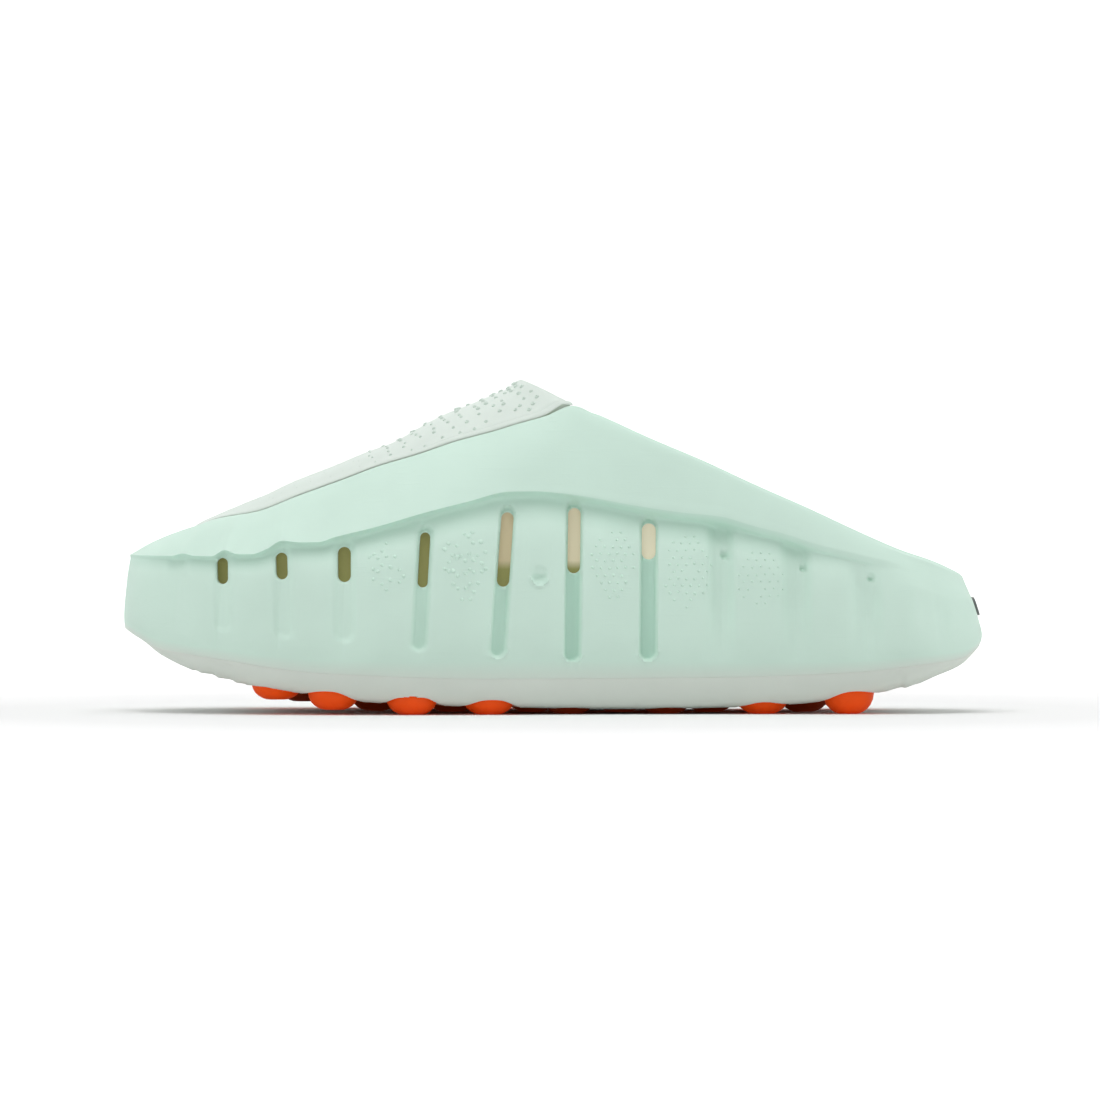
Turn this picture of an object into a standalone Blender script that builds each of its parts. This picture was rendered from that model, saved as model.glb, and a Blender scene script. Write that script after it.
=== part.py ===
"""A moulded foam sneaker mule for the left foot, standing empty on its studs.

The toe points along +Y, the outer side of the foot is -X and +Z is up. Stations along the
shoe are shares of LENGTH from the heel, heights are shares of HEIGHT above the floor, and
places across are shares of BALL_WIDTH from the middle line, with the outer side negative.
"""

import math

import bmesh
import bpy
from mathutils import Vector

# Overall sizes, in metres
LENGTH = 0.300
HEIGHT = 0.116
BALL_WIDTH = 0.1125

# Walls and thicknesses
GAP = 0.0003
WALL = 0.0045
BROW_THICKNESS = 0.0072
RIM_THICKNESS = 0.0038
RIM_ROUND = 0.0009
TONGUE_THICKNESS = 0.0028
TONGUE_RISE = 0.0106
THROAT_SCOOP = 0.0180
TONGUE_DROP = 0.0005
INSOLE_THICKNESS = 0.0038
INSOLE_DISH = 0.0012

# Relief of the side wall; BROW_CROWN is a share of the brow's height
TRENCH_DEPTH = 0.0021
POD_BULGE = 0.0011
BROW_OVERHANG = 0.0042
LIP_ROUND = 0.0016
BROW_CROWN = 0.14
SLOT_WIDTH = 0.0052
TRENCH_REACH = 0.0070
TRENCH_FLOOR = 0.0026
SLOT_REACH_OUT = 0.012
SLOT_REACH_IN = 0.011

# Sole and the studs under it
STUD_RADIUS = 0.0090
STUD_SEAT = 0.0050
STUD_SIDES = 10
SOLE_ROUND = 0.0080

# Heel badge
BADGE_WIDTH = 0.0200
BADGE_HEIGHT = 0.0064
BADGE_THICKNESS = 0.0010
BADGE_CENTRE = 0.0370

# Station of the throat's corners, and how far behind them the collar's rim takes its width
THROAT = 0.4755
COLLAR_BLEND = 0.030

# Rows go round from the heel tip, up the outer side to the toe and back up the inner side.
# outline_across, outline_along, rim_across, rim_along
ROUND = (
    (0.000, 0.000, 0.000, 0.023),
    (-0.196, 0.012, -0.150, 0.034),
    (-0.330, 0.062, -0.258, 0.078),
    (-0.382, 0.140, -0.303, 0.147),
    (-0.386, 0.233, -0.313, 0.235),
    (-0.386, 0.333, -0.312, 0.334),
    (-0.404, 0.430, -0.297, 0.428),
    (-0.422, THROAT, -0.286, THROAT),
    (-0.452, 0.540, -0.280, 0.538),
    (-0.486, 0.640, -0.268, 0.634),
    (-0.487, 0.733, -0.254, 0.732),
    (-0.440, 0.827, -0.190, 0.822),
    (-0.332, 0.913, -0.112, 0.884),
    (-0.172, 0.973, -0.050, 0.911),
    (0.045, 1.000, 0.006, 0.918),
    (0.235, 0.983, 0.062, 0.909),
    (0.392, 0.927, 0.130, 0.880),
    (0.476, 0.850, 0.204, 0.825),
    (0.508, 0.750, 0.258, 0.738),
    (0.494, 0.645, 0.270, 0.638),
    (0.446, 0.543, 0.281, 0.538),
    (0.410, THROAT, 0.286, THROAT),
    (0.384, 0.430, 0.296, 0.428),
    (0.357, 0.333, 0.306, 0.334),
    (0.348, 0.233, 0.305, 0.235),
    (0.364, 0.140, 0.300, 0.147),
    (0.320, 0.062, 0.250, 0.078),
    (0.180, 0.012, 0.142, 0.034),
)
THROAT_ROW = 7
TOE_ROW = 14

# station, height of the sole's lower edge
SOLE_EDGE = (
    (0.000, 0.195),
    (0.025, 0.142),
    (0.057, 0.110),
    (0.088, 0.079),
    (0.125, 0.062),
    (0.170, 0.044),
    (0.220, 0.029),
    (0.300, 0.019),
    (0.420, 0.015),
    (0.530, 0.020),
    (0.620, 0.026),
    (0.710, 0.037),
    (0.790, 0.064),
    (0.850, 0.086),
    (0.885, 0.108),
    (0.912, 0.127),
    (0.935, 0.150),
    (0.955, 0.176),
    (0.970, 0.205),
    (0.985, 0.232),
    (1.000, 0.248),
)

# station, height of the seam between sole and upper
SEAM = (
    (0.000, 0.205),
    (0.026, 0.166),
    (0.080, 0.146),
    (0.150, 0.126),
    (0.320, 0.110),
    (0.560, 0.107),
    (0.760, 0.124),
    (0.820, 0.140),
    (0.870, 0.160),
    (0.910, 0.175),
    (0.955, 0.196),
    (0.980, 0.226),
    (1.000, 0.254),
)

# station, height of the brow's lower edge, with an arch over each of the front trenches
LEDGE = (
    (0.000, 0.369),
    (0.030, 0.389),
    (0.080, 0.434),
    (0.126, 0.447),
    (0.156, 0.464),
    (0.194, 0.487),
    (0.230, 0.517),
    (0.268, 0.542),
    (0.304, 0.569),
    (0.353, 0.586),
    (0.407, 0.611),
    (0.480, 0.649),
    (0.513, 0.657),
    (0.543, 0.656),
    (0.596, 0.624),
    (0.643, 0.594),
    (0.700, 0.552),
    (0.752, 0.520),
    (0.768, 0.507),
    (0.790, 0.506),
    (0.812, 0.511),
    (0.830, 0.487),
    (0.848, 0.471),
    (0.865, 0.471),
    (0.880, 0.483),
    (0.896, 0.465),
    (0.916, 0.466),
    (0.930, 0.473),
    (0.945, 0.466),
    (0.975, 0.467),
    (1.000, 0.469),
)

# station of the rim, height of the rim
RIM_HEIGHT = (
    (0.023, 0.415),
    (0.058, 0.451),
    (0.094, 0.480),
    (0.152, 0.543),
    (0.210, 0.612),
    (0.268, 0.678),
    (0.327, 0.749),
    (0.385, 0.813),
    (0.444, 0.883),
    (THROAT, 0.918),
    (0.506, 0.888),
    (0.536, 0.866),
    (0.568, 0.841),
    (0.610, 0.812),
    (0.652, 0.775),
    (0.700, 0.738),
    (0.740, 0.699),
    (0.793, 0.650),
    (0.840, 0.604),
    (0.886, 0.583),
    (0.918, 0.555),
)

# station, lean of the wall between seam and brow as a share of BALL_WIDTH
LEAN = (
    (0.00, 0.040),
    (0.10, 0.040),
    (0.25, 0.042),
    (0.42, 0.058),
    (0.55, 0.066),
    (0.70, 0.054),
    (0.85, 0.032),
    (0.95, 0.020),
    (1.00, 0.016),
)

# station, share of BROW_OVERHANG
OVERHANG = (
    (0.00, 0.00),
    (0.08, 0.02),
    (0.14, 0.25),
    (0.25, 0.75),
    (0.35, 1.00),
    (0.65, 1.00),
    (0.78, 0.80),
    (0.90, 0.60),
    (0.96, 0.30),
    (1.00, 0.06),
)

# station, height of the plateau that fills the foot of the upper
PLATEAU = (
    (0.00, 0.232),
    (0.03, 0.208),
    (0.10, 0.184),
    (0.23, 0.172),
    (0.50, 0.168),
    (0.70, 0.172),
    (0.83, 0.190),
    (0.92, 0.216),
    (0.97, 0.246),
    (1.00, 0.272),
)

# height between seam and brow, share of the lean, share of the trench, share of the overhang
WALL_LEVELS = (
    (0.00, 0.00, 0.00, 0.00),
    (0.09, -0.12, 0.10, 0.00),
    (0.20, -0.05, 0.80, 0.00),
    (0.50, 0.30, 1.00, 0.05),
    (0.80, 0.72, 1.00, 0.35),
    (0.92, 0.90, 0.85, 0.90),
    (0.98, 0.98, 0.45, 0.95),
    (1.00, 1.00, 0.15, 0.30),
)

# height between seam and brow, share of the wall's extra thickness behind the brow
INNER_LEVELS = ((1.00, 1.00), (0.75, 0.75), (0.40, 0.10), (0.12, 0.0), (0.00, 0.00))

# share of the way from lip to rim
BROW_LEVELS = (0.30, 0.65)

# station, slot width, slot foot, slot top, slot lean in degrees, trench depth, trench half width;
# the widths are shares of SLOT_WIDTH and TRENCH_REACH, the depth a share of TRENCH_DEPTH
TRENCHES = (
    (0.058, 0.0, 0.0, 0.0, 0.0, 0.45, 1.00),
    (0.139, 0.0, 0.0, 0.0, 0.0, 0.55, 1.00),
    (0.219, 0.0, 0.0, 0.0, 0.0, 0.65, 0.97),
    (0.305, 0.0, 0.0, 0.0, 0.0, 0.75, 0.89),
    (0.388, 0.92, 0.460, 0.567, 0.5, 1.0, 0.63),
    (0.474, 0.83, 0.419, 0.613, 0.8, 1.0, 0.63),
    (0.553, 0.81, 0.379, 0.600, 3.9, 1.0, 0.63),
    (0.646, 0.67, 0.377, 0.540, 3.0, 0.9, 0.60),
    (0.737, 0.86, 0.393, 0.497, -0.8, 0.8, 0.63),
    (0.809, 0.77, 0.401, 0.480, -3.0, 0.7, 0.60),
    (0.878, 0.73, 0.387, 0.464, -2.0, 0.6, 0.60),
    (0.932, 0.0, 0.0, 0.0, 0.0, 0.5, 0.63),
)
HEEL_POD_SHARES = (0.30, 0.60, 0.82)
TOE_POD_SHARES = (0.25, 0.50, 0.75)

# inset as a share of SOLE_ROUND, share of the way from the sole's edge up to the seam
SOLE_SIDE = ((0.05, 0.60), (0.22, 0.28), (0.52, 0.08), (1.00, 0.00))

# tongue: way from its front tip to the throat, crown above its edges as a share of TONGUE_RISE
TONGUE_CROWN = (
    (0.00, 0.03),
    (0.15, 0.16),
    (0.25, 0.20),
    (0.32, 0.32),
    (0.40, 0.51),
    (0.50, 0.57),
    (0.60, 0.57),
    (0.65, 0.57),
    (0.72, 0.77),
    (0.80, 0.95),
    (0.90, 0.99),
    (1.00, 0.98),
)
TONGUE_ROWS = 12
TONGUE_COLUMNS = 8

# stations of the studs in each row, and the side they lie on
STUDS = (
    ("outer", (0.155, 0.257, 0.365, 0.470, 0.566, 0.658, 0.755, 0.832)),
    ("middle", (0.205, 0.315, 0.420, 0.523, 0.617, 0.706, 0.790)),
    ("inner", (0.155, 0.257, 0.365, 0.566, 0.658, 0.755, 0.832)),
)
# station, distance of an edge stud's middle from the outline as a share of BALL_WIDTH
STUD_INSET = (
    (0.155, 0.112),
    (0.257, 0.124),
    (0.365, 0.151),
    (0.470, 0.151),
    (0.566, 0.106),
    (0.658, 0.098),
    (0.755, 0.107),
    (0.832, 0.136),
)

# station, height of the lowest point of a stud
STUD_FOOT = ((0.00, 0.0), (0.68, 0.0), (0.75, 0.014), (0.83, 0.050), (1.00, 0.130))

# share of the stud's height, share of its radius
STUD_RINGS = ((0.00, 0.38), (0.17, 0.74), (0.52, 0.955), (1.00, 1.00))

COLOURS = {
    "mint_foam": ((0.60, 0.77, 0.68, 1.0), 0.62),
    "sole_rubber": ((0.56, 0.62, 0.56, 1.0), 0.60),
    "tongue_foam": ((0.73, 0.80, 0.74, 1.0), 0.55),
    "stud_rubber": ((0.85, 0.075, 0.010, 1.0), 0.45),
    "insole_foam": ((0.55, 0.40, 0.28, 1.0), 0.80),
    "badge_plastic": ((0.04, 0.045, 0.045, 1.0), 0.40),
}


def along_table(table, place):
    """The value of a two-column table at a place, on a curve with no overshoot."""
    places = [row[0] for row in table]
    values = [row[1] for row in table]
    if place <= places[0]:
        return values[0]
    if place >= places[-1]:
        return values[-1]
    slopes = []
    for k in range(len(table) - 1):
        slopes.append((values[k + 1] - values[k]) / (places[k + 1] - places[k]))
    tangents = [slopes[0]]
    for before, after in zip(slopes, slopes[1:]):
        flat = before * after <= 0
        tangents.append(0.0 if flat else 2 * before * after / (before + after))
    tangents.append(slopes[-1])
    k = max(i for i in range(len(table) - 1) if places[i] <= place)
    span = places[k + 1] - places[k]
    t = (place - places[k]) / span
    return (
        (2 * t**3 - 3 * t**2 + 1) * values[k]
        + (t**3 - 2 * t**2 + t) * span * tangents[k]
        + (3 * t**2 - 2 * t**3) * values[k + 1]
        + (t**3 - t**2) * span * tangents[k + 1]
    )


def round_row(turn):
    """The row of ROUND at a fractional index, on a smooth closed curve."""
    count = len(ROUND)
    k = math.floor(turn)
    t = turn - k
    rows = [ROUND[(k + step) % count] for step in (-1, 0, 1, 2)]
    found = []
    for before, here, after, later in zip(*rows):
        found.append(
            0.5
            * (
                2 * here
                + (after - before) * t
                + (2 * before - 5 * here + 4 * after - later) * t * t
                + (3 * here - before - 3 * after + later) * t**3
            )
        )
    return found


def outline(turn):
    """A point of the shoe's outline in plan."""
    row = round_row(turn)
    return Vector((row[0] * BALL_WIDTH, (row[1] - 0.5) * LENGTH, 0.0))


def station_of(point):
    return point.y / LENGTH + 0.5


def outward(turn):
    """The outline's outward direction in plan."""
    step = 0.01
    ahead = outline(turn + step) - outline(turn - step)
    return Vector((-ahead.y, ahead.x, 0.0)).normalized()


def seam_height(turn):
    return along_table(SEAM, station_of(outline(turn))) * HEIGHT


def ledge_height(turn):
    return along_table(LEDGE, station_of(outline(turn))) * HEIGHT


def rim(turn):
    """The top edge of the upper's outer face."""
    row = round_row(turn)
    height = along_table(RIM_HEIGHT, row[3]) * HEIGHT
    return Vector((row[2] * BALL_WIDTH, (row[3] - 0.5) * LENGTH, height))


def collar_share(turn):
    """1 along the collar behind the throat corners, 0 along the tongue."""
    station = round_row(turn)[3]
    return min(1.0, max(0.0, (THROAT - station) / COLLAR_BLEND))


def turn_at(station, side):
    """The place on the outline at a station, on the outer or the inner side."""
    low, high = (0.0, TOE_ROW) if side == "outer" else (len(ROUND), TOE_ROW)
    for _ in range(40):
        middle = (low + high) / 2
        if station_of(outline(middle)) < station:
            low = middle
        else:
            high = middle
    return (low + high) / 2


def turn_step(turn, distance):
    """How far the fractional index goes for a distance along the outline."""
    speed = (outline(turn + 0.01) - outline(turn - 0.01)).length / 0.02
    return distance / speed


def side_columns(side):
    """Places round one side from heel tip to toe tip, each with its share of trench depth."""
    heel = 0.0 if side == "outer" else float(len(ROUND))
    sign = 1 if side == "outer" else -1
    columns = []
    last = heel
    for trench in TRENCHES:
        depth, half_width = trench[5:]
        centre = trench_turn(trench, side)
        edge = sign * turn_step(centre, half_width * TRENCH_REACH)
        floor = sign * turn_step(centre, TRENCH_FLOOR)
        for share in HEEL_POD_SHARES if last == heel else (0.5,):
            columns.append((last + (centre - edge - last) * share, -1.0))
        columns.append((centre - edge, 0.0))
        columns.append((centre - floor, depth))
        columns.append((centre + floor, depth))
        columns.append((centre + edge, 0.0))
        last = centre + edge
    for share in TOE_POD_SHARES:
        columns.append((last + (TOE_ROW - last) * share, -0.3))
    return columns


def all_columns():
    """Every column once round the shoe, from the heel tip by the outer side."""
    outer = side_columns("outer")
    inner = side_columns("inner")
    return [(0.0, -0.5), *outer, (float(TOE_ROW), -0.3), *reversed(inner)]


def lean_at(turn):
    return along_table(LEAN, station_of(outline(turn))) * BALL_WIDTH


def wall_point(turn, relief, level):
    """A point of the outer face between the seam and the brow's lip."""
    height_share, lean_share, trench_share, overhang_share = level
    station = station_of(outline(turn))
    overhang = along_table(OVERHANG, station) * BROW_OVERHANG
    depth = relief * (TRENCH_DEPTH if relief > 0 else POD_BULGE) * trench_share
    inset = lean_share * lean_at(turn) + depth + overhang_share * overhang
    low, high = seam_height(turn), ledge_height(turn)
    point = outline(turn) - outward(turn) * inset
    point.z = low + (high - low) * height_share
    return point


def wall_at_height(turn, relief, height):
    """A point of the outer face at a height, between two levels of the wall."""
    points = [wall_point(turn, relief, level) for level in WALL_LEVELS]
    for low, high in zip(points, points[1:]):
        if high.z >= height:
            return low.lerp(high, (height - low.z) / (high.z - low.z))
    return points[-1]


def lip_point(turn):
    """The brow's outermost line."""
    point = outline(turn) - outward(turn) * lean_at(turn)
    point.z = ledge_height(turn) + LIP_ROUND
    return point


def brow_point(turn, share):
    """A point of the outer face between the brow's lip and the rim."""
    low, high = lip_point(turn), rim(turn)
    point = low.lerp(high, share)
    point.z += BROW_CROWN * math.sin(math.pi * share) * (high.z - low.z)
    return point


def rim_inner(turn):
    """The rim's inner edge: inward at the collar, straight down along the tongue."""
    collar = collar_share(turn)
    inward = -outward(turn)
    point = rim(turn) + inward * RIM_THICKNESS * collar
    point.z -= RIM_THICKNESS * (1 - collar)
    return point


def rim_middle(turn):
    """The rounded middle of the rim's edge."""
    point = (rim(turn) + rim_inner(turn)) / 2
    point.z += RIM_ROUND * collar_share(turn)
    return point


def inner_brow_point(turn, share):
    """A point of the inner face under the brow, between ledge and rim."""
    low = inner_wall_point(turn, INNER_LEVELS[0])
    high = rim_inner(turn)
    point = low.lerp(high, share)
    point.z += BROW_CROWN * math.sin(math.pi * share) * (high.z - low.z)
    return point


def inner_wall_point(turn, level):
    """A point of the inner face below the brow."""
    height_share, extra_share = level
    thickness = WALL + (BROW_THICKNESS - WALL) * extra_share
    inset = thickness + lean_at(turn) * height_share
    low, high = seam_height(turn), ledge_height(turn)
    point = outline(turn) - outward(turn) * inset
    point.z = low + (high - low) * height_share
    return point


def upper_section(turn, relief):
    """One closed section of the upper's wall, up the outside and down the inside."""
    points = [wall_point(turn, relief, level) for level in WALL_LEVELS]
    points.append(lip_point(turn))
    points += [brow_point(turn, share) for share in BROW_LEVELS]
    points += [rim(turn), rim_middle(turn), rim_inner(turn)]
    points.append(inner_brow_point(turn, 0.5))
    points += [inner_wall_point(turn, level) for level in INNER_LEVELS]
    return points


def new_object(name, bm, material, collection):
    """Turns a bmesh into an object with faces pointing out and its own material."""
    bmesh.ops.recalc_face_normals(bm, faces=bm.faces)
    mesh = bpy.data.meshes.new(name)
    bm.to_mesh(mesh)
    bm.free()
    mesh.shade_smooth()
    mesh.set_sharp_from_angle(angle=math.radians(35))
    obj = bpy.data.objects.new(name, mesh)
    collection.objects.link(obj)
    if material:
        mesh.materials.append(plain_material(name, *COLOURS[material]))
    return obj


def plain_material(name, colour, roughness):
    material = bpy.data.materials.new(name)
    material.use_nodes = True
    shader = material.node_tree.nodes["Principled BSDF"]
    shader.inputs["Base Color"].default_value = colour
    shader.inputs["Roughness"].default_value = roughness
    shader.inputs["Metallic"].default_value = 0.0
    return material


def bridge(bm, first, second):
    """Quads between two closed or open rows of vertices of the same length."""
    for (a, b), (c, d) in zip(zip(first, first[1:]), zip(second, second[1:])):
        bm.faces.new((a, b, d, c))


def make_upper(collection):
    bm = bmesh.new()
    rings = []
    for turn, relief in all_columns():
        rings.append([bm.verts.new(p) for p in upper_section(turn, relief)])
    for here, after in zip(rings, rings[1:] + rings[:1]):
        bridge(bm, here + here[:1], after + after[:1])
    return new_object("upper", bm, "mint_foam", collection)


def cut(target, cutter):
    """Takes a cutter out of an object."""
    modifier = target.modifiers.new(cutter.name, "BOOLEAN")
    modifier.operation = "DIFFERENCE"
    modifier.solver = "EXACT"
    modifier.object = cutter
    cutter.hide_render = True
    cutter.display_type = "WIRE"


def pill_outline(width, height, arc_steps):
    """Corner points of an upright pill round the origin, as pairs."""
    radius = width / 2
    straight = height / 2 - radius
    points = []
    for centre, start in ((straight, 0.0), (-straight, math.pi)):
        for step in range(arc_steps + 1):
            angle = start + math.pi * step / arc_steps
            points.append((radius * math.cos(angle), centre + radius * math.sin(angle)))
    return points


def trench_turn(trench, side):
    """The place on the outline whose wall stands at the trench's station halfway up the slot."""
    station, _, foot, top = trench[:4]
    turn = turn_at(station, side)
    if top > 0:
        for _ in range(4):
            place = wall_at_height(turn, 1.0, (foot + top) / 2 * HEIGHT)
            turn = turn_at(station_of(outline(turn)) + station - station_of(place), side)
    return turn


def add_slot(bm, side, trench):
    """One pill-shaped prism straight across the wall at a trench."""
    station, width, foot, top, lean, _, _ = trench
    angle = math.radians(lean)
    middle = (foot + top) / 2 * HEIGHT
    centre = wall_at_height(trench_turn(trench, side), 1.0, middle)
    out = Vector((-1 if side == "outer" else 1, 0, 0))
    ends = [[], []]
    for across, up in pill_outline(width * SLOT_WIDTH, (top - foot) * HEIGHT, 4):
        turned = across * math.cos(angle) - up * math.sin(angle)
        raised = across * math.sin(angle) + up * math.cos(angle)
        point = Vector((centre.x, (station - 0.5) * LENGTH + turned, middle + raised))
        ends[0].append(bm.verts.new(point + out * SLOT_REACH_OUT))
        ends[1].append(bm.verts.new(point - out * SLOT_REACH_IN))
    bm.faces.new(ends[0])
    bm.faces.new(reversed(ends[1]))
    bridge(bm, ends[0] + ends[0][:1], ends[1] + ends[1][:1])


def cut_slots(upper, cutters):
    bm = bmesh.new()
    for trench in TRENCHES:
        if trench[1] > 0:
            add_slot(bm, "outer", trench)
            add_slot(bm, "inner", trench)
    cut(upper, new_object("slot_cutter", bm, None, cutters))


def inset_point(turn, inset, height):
    point = outline(turn) - outward(turn) * inset
    point.z = height
    return point


def sole_section(turn):
    """Points from the plateau's edge out over the seam and down to the underside."""
    seam = seam_height(turn) - GAP
    plateau = along_table(PLATEAU, station_of(outline(turn))) * HEIGHT
    lean_share = (plateau - seam) / (ledge_height(turn) - seam)
    top_inset = WALL + 2 * GAP + lean_at(turn) * lean_share
    points = [
        inset_point(turn, top_inset, plateau),
        inset_point(turn, WALL + 2 * GAP, seam),
        inset_point(turn, 0.0, seam),
    ]
    for inset, share in SOLE_SIDE:
        point = inset_point(turn, inset * SOLE_ROUND, 0.0)
        low = along_table(SOLE_EDGE, station_of(point)) * HEIGHT
        point.z = low + (seam - low) * share
        points.append(point)
    return points


def fill_across(bm, row, middle_shift):
    """Fills a closed row of vertices with a ladder that has one vertex in the middle."""
    half = len(row) // 2
    outer = row[1:half]
    inner = row[:half:-1]
    middles = []
    for left, right in zip(outer, inner):
        place = (left.co + right.co) / 2 + Vector((0, 0, middle_shift))
        middles.append(bm.verts.new(place))
    for tip, k in ((row[0], 0), (row[half], -1)):
        bm.faces.new((tip, outer[k], middles[k]))
        bm.faces.new((tip, middles[k], inner[k]))
    bridge(bm, outer, middles)
    bridge(bm, middles, inner)


def make_sole(collection):
    bm = bmesh.new()
    columns = all_columns()
    sections = [[bm.verts.new(p) for p in sole_section(turn)] for turn, _ in columns]
    for here, after in zip(sections, sections[1:] + sections[:1]):
        bridge(bm, here, after)
    fill_across(bm, [section[0] for section in sections], 0.0)
    fill_across(bm, [section[-1] for section in sections], 0.0)
    return new_object("sole", bm, "sole_rubber", collection)


def stud_places():
    """Name, place and heights of each stud's foot and seat."""
    places = []
    for row, stations in STUDS:
        for number, station in enumerate(stations, 1):
            if row == "middle":
                left, right = (outline(turn_at(station, s)) for s in ("outer", "inner"))
                place = (left + right) / 2
            else:
                turn = turn_at(station, row)
                inset = along_table(STUD_INSET, station) * BALL_WIDTH
                place = outline(turn) - outward(turn) * inset
            share = station_of(place)
            foot = along_table(STUD_FOOT, share) * HEIGHT
            seat = along_table(SOLE_EDGE, share) * HEIGHT + STUD_SEAT
            places.append((f"stud_{row}_{number}", place, foot, seat))
    return places


def add_round(bm, place, rings):
    """A closed round body from rings of radius and height."""
    rows = []
    for radius, height in rings:
        row = []
        for k in range(STUD_SIDES):
            angle = 2 * math.pi * (k + 0.5) / STUD_SIDES
            step = Vector((radius * math.cos(angle), radius * math.sin(angle), height))
            row.append(bm.verts.new(Vector((place.x, place.y, 0.0)) + step))
        rows.append(row)
    for low, high in zip(rows, rows[1:]):
        bridge(bm, low + low[:1], high + high[:1])
    bm.faces.new(reversed(rows[0]))
    bm.faces.new(rows[-1])


def make_studs(collection):
    for name, place, foot, seat in stud_places():
        bm = bmesh.new()
        top = seat - GAP
        rings = [(r * STUD_RADIUS, foot + h * (top - foot)) for h, r in STUD_RINGS]
        add_round(bm, place, rings)
        new_object(name, bm, "stud_rubber", collection)


def cut_seats(sole, cutters):
    bm = bmesh.new()
    side_gap = GAP / math.cos(math.pi / STUD_SIDES)
    for _, place, _, seat in stud_places():
        below = -STUD_SEAT
        add_round(bm, place, [(STUD_RADIUS + side_gap, below), (STUD_RADIUS + side_gap, seat)])
    cut(sole, new_object("seat_cutter", bm, None, cutters))


def tongue_edge(side):
    """The rim from the front tip to the throat corner, drawn in by the gap."""
    corner = THROAT_ROW if side == "outer" else len(ROUND) - THROAT_ROW
    points = []
    for k in range(TONGUE_ROWS + 1):
        turn = TOE_ROW + (corner - TOE_ROW) * k / TONGUE_ROWS
        points.append(rim(turn))
    return points


def make_tongue(collection):
    """A crowned sheet between the two edges of the front opening."""
    left, right = tongue_edge("outer"), tongue_edge("inner")
    bm = bmesh.new()
    layers = []
    for drop in (TONGUE_DROP, TONGUE_DROP + TONGUE_THICKNESS):
        rows = []
        for k in range(1, TONGUE_ROWS + 1):
            way = k / TONGUE_ROWS
            width = (right[k] - left[k]).length
            draw = 2 * GAP / width
            row = []
            for c in range(TONGUE_COLUMNS + 1):
                across = c / TONGUE_COLUMNS
                place = left[k].lerp(right[k], draw + (1 - 2 * draw) * across)
                arch = 1 - (2 * across - 1) ** 2
                place.y += THROAT_SCOOP * arch * way**3
                crown = along_table(TONGUE_CROWN, way) * TONGUE_RISE
                place.z += crown * arch**0.8 - drop
                row.append(bm.verts.new(place))
            rows.append(row)
        layers.append(rows)
    for rows in layers:
        for here, after in zip(rows, rows[1:]):
            bridge(bm, here, after)
    top, bottom = layers
    bridge(bm, top[0], bottom[0])
    bridge(bm, top[-1], bottom[-1])
    for end in (0, -1):
        bridge(bm, [row[end] for row in top], [row[end] for row in bottom])
    return new_object("tongue", bm, "tongue_foam", collection)


def insole_rows():
    """Every second column, drawn in from the upper's inner face."""
    columns = all_columns()
    half = len(columns) // 2
    outer = columns[2:half:2]
    inner = columns[:half:-1][1::2]
    return [columns[0], *outer, columns[half], *reversed(inner)]


def make_insole(collection):
    bm = bmesh.new()
    layers = []
    for rise in (GAP, GAP + INSOLE_THICKNESS):
        row = []
        for turn, _ in insole_rows():
            plateau = along_table(PLATEAU, station_of(outline(turn))) * HEIGHT
            lean_share = (plateau - seam_height(turn)) / (ledge_height(turn) - seam_height(turn))
            inset = WALL + 4 * GAP + lean_at(turn) * (lean_share + 0.12)
            row.append(bm.verts.new(inset_point(turn, inset, plateau + rise)))
        layers.append(row)
    low, high = layers
    bridge(bm, low + low[:1], high + high[:1])
    fill_across(bm, low, 0.0)
    fill_across(bm, high, -INSOLE_DISH)
    return new_object("insole", bm, "insole_foam", collection)


def heel_face(across, height):
    """A point of the heel's outer face at a place across and a height."""
    columns = all_columns()
    walk = columns[: len(columns) // 2] if across < 0 else [columns[0], *reversed(columns)]
    for near, far in zip(walk, walk[1:]):
        start = wall_at_height(*near, height)
        end = wall_at_height(*far, height)
        if abs(end.x) > abs(across):
            share = (across - start.x) / (end.x - start.x)
            return start.lerp(end, share), outward(near[0])
    return start, outward(near[0])


def make_badge(collection):
    """A plain pill lying along the heel's curve."""
    bm = bmesh.new()
    loops = [[], []]
    for up, across in pill_outline(BADGE_HEIGHT, BADGE_WIDTH, 5):
        place, out = heel_face(across, BADGE_CENTRE + up)
        for loop, rise in zip(loops, (2 * GAP, 2 * GAP + BADGE_THICKNESS)):
            loop.append(bm.verts.new(place + out * rise))
    bm.faces.new(loops[0])
    bm.faces.new(reversed(loops[1]))
    bridge(bm, loops[0] + loops[0][:1], loops[1] + loops[1][:1])
    return new_object("heel_badge", bm, "badge_plastic", collection)


def place_on_origin(collection):
    """Hangs every piece from an empty so that the shoe stands centred on the origin."""
    depsgraph = bpy.context.evaluated_depsgraph_get()
    points = []
    for obj in collection.objects:
        evaluated = obj.evaluated_get(depsgraph)
        points += [evaluated.matrix_world @ Vector(c) for c in evaluated.bound_box]
    middle = [(min(p[k] for p in points) + max(p[k] for p in points)) / 2 for k in (0, 1)]
    floor = min(p.z for p in points)
    holder = bpy.data.objects.new("mule_origin", None)
    bpy.context.scene.collection.objects.link(holder)
    holder.location = (-middle[0], -middle[1], -floor)
    for group in bpy.data.collections:
        for obj in group.objects:
            obj.parent = holder


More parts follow.
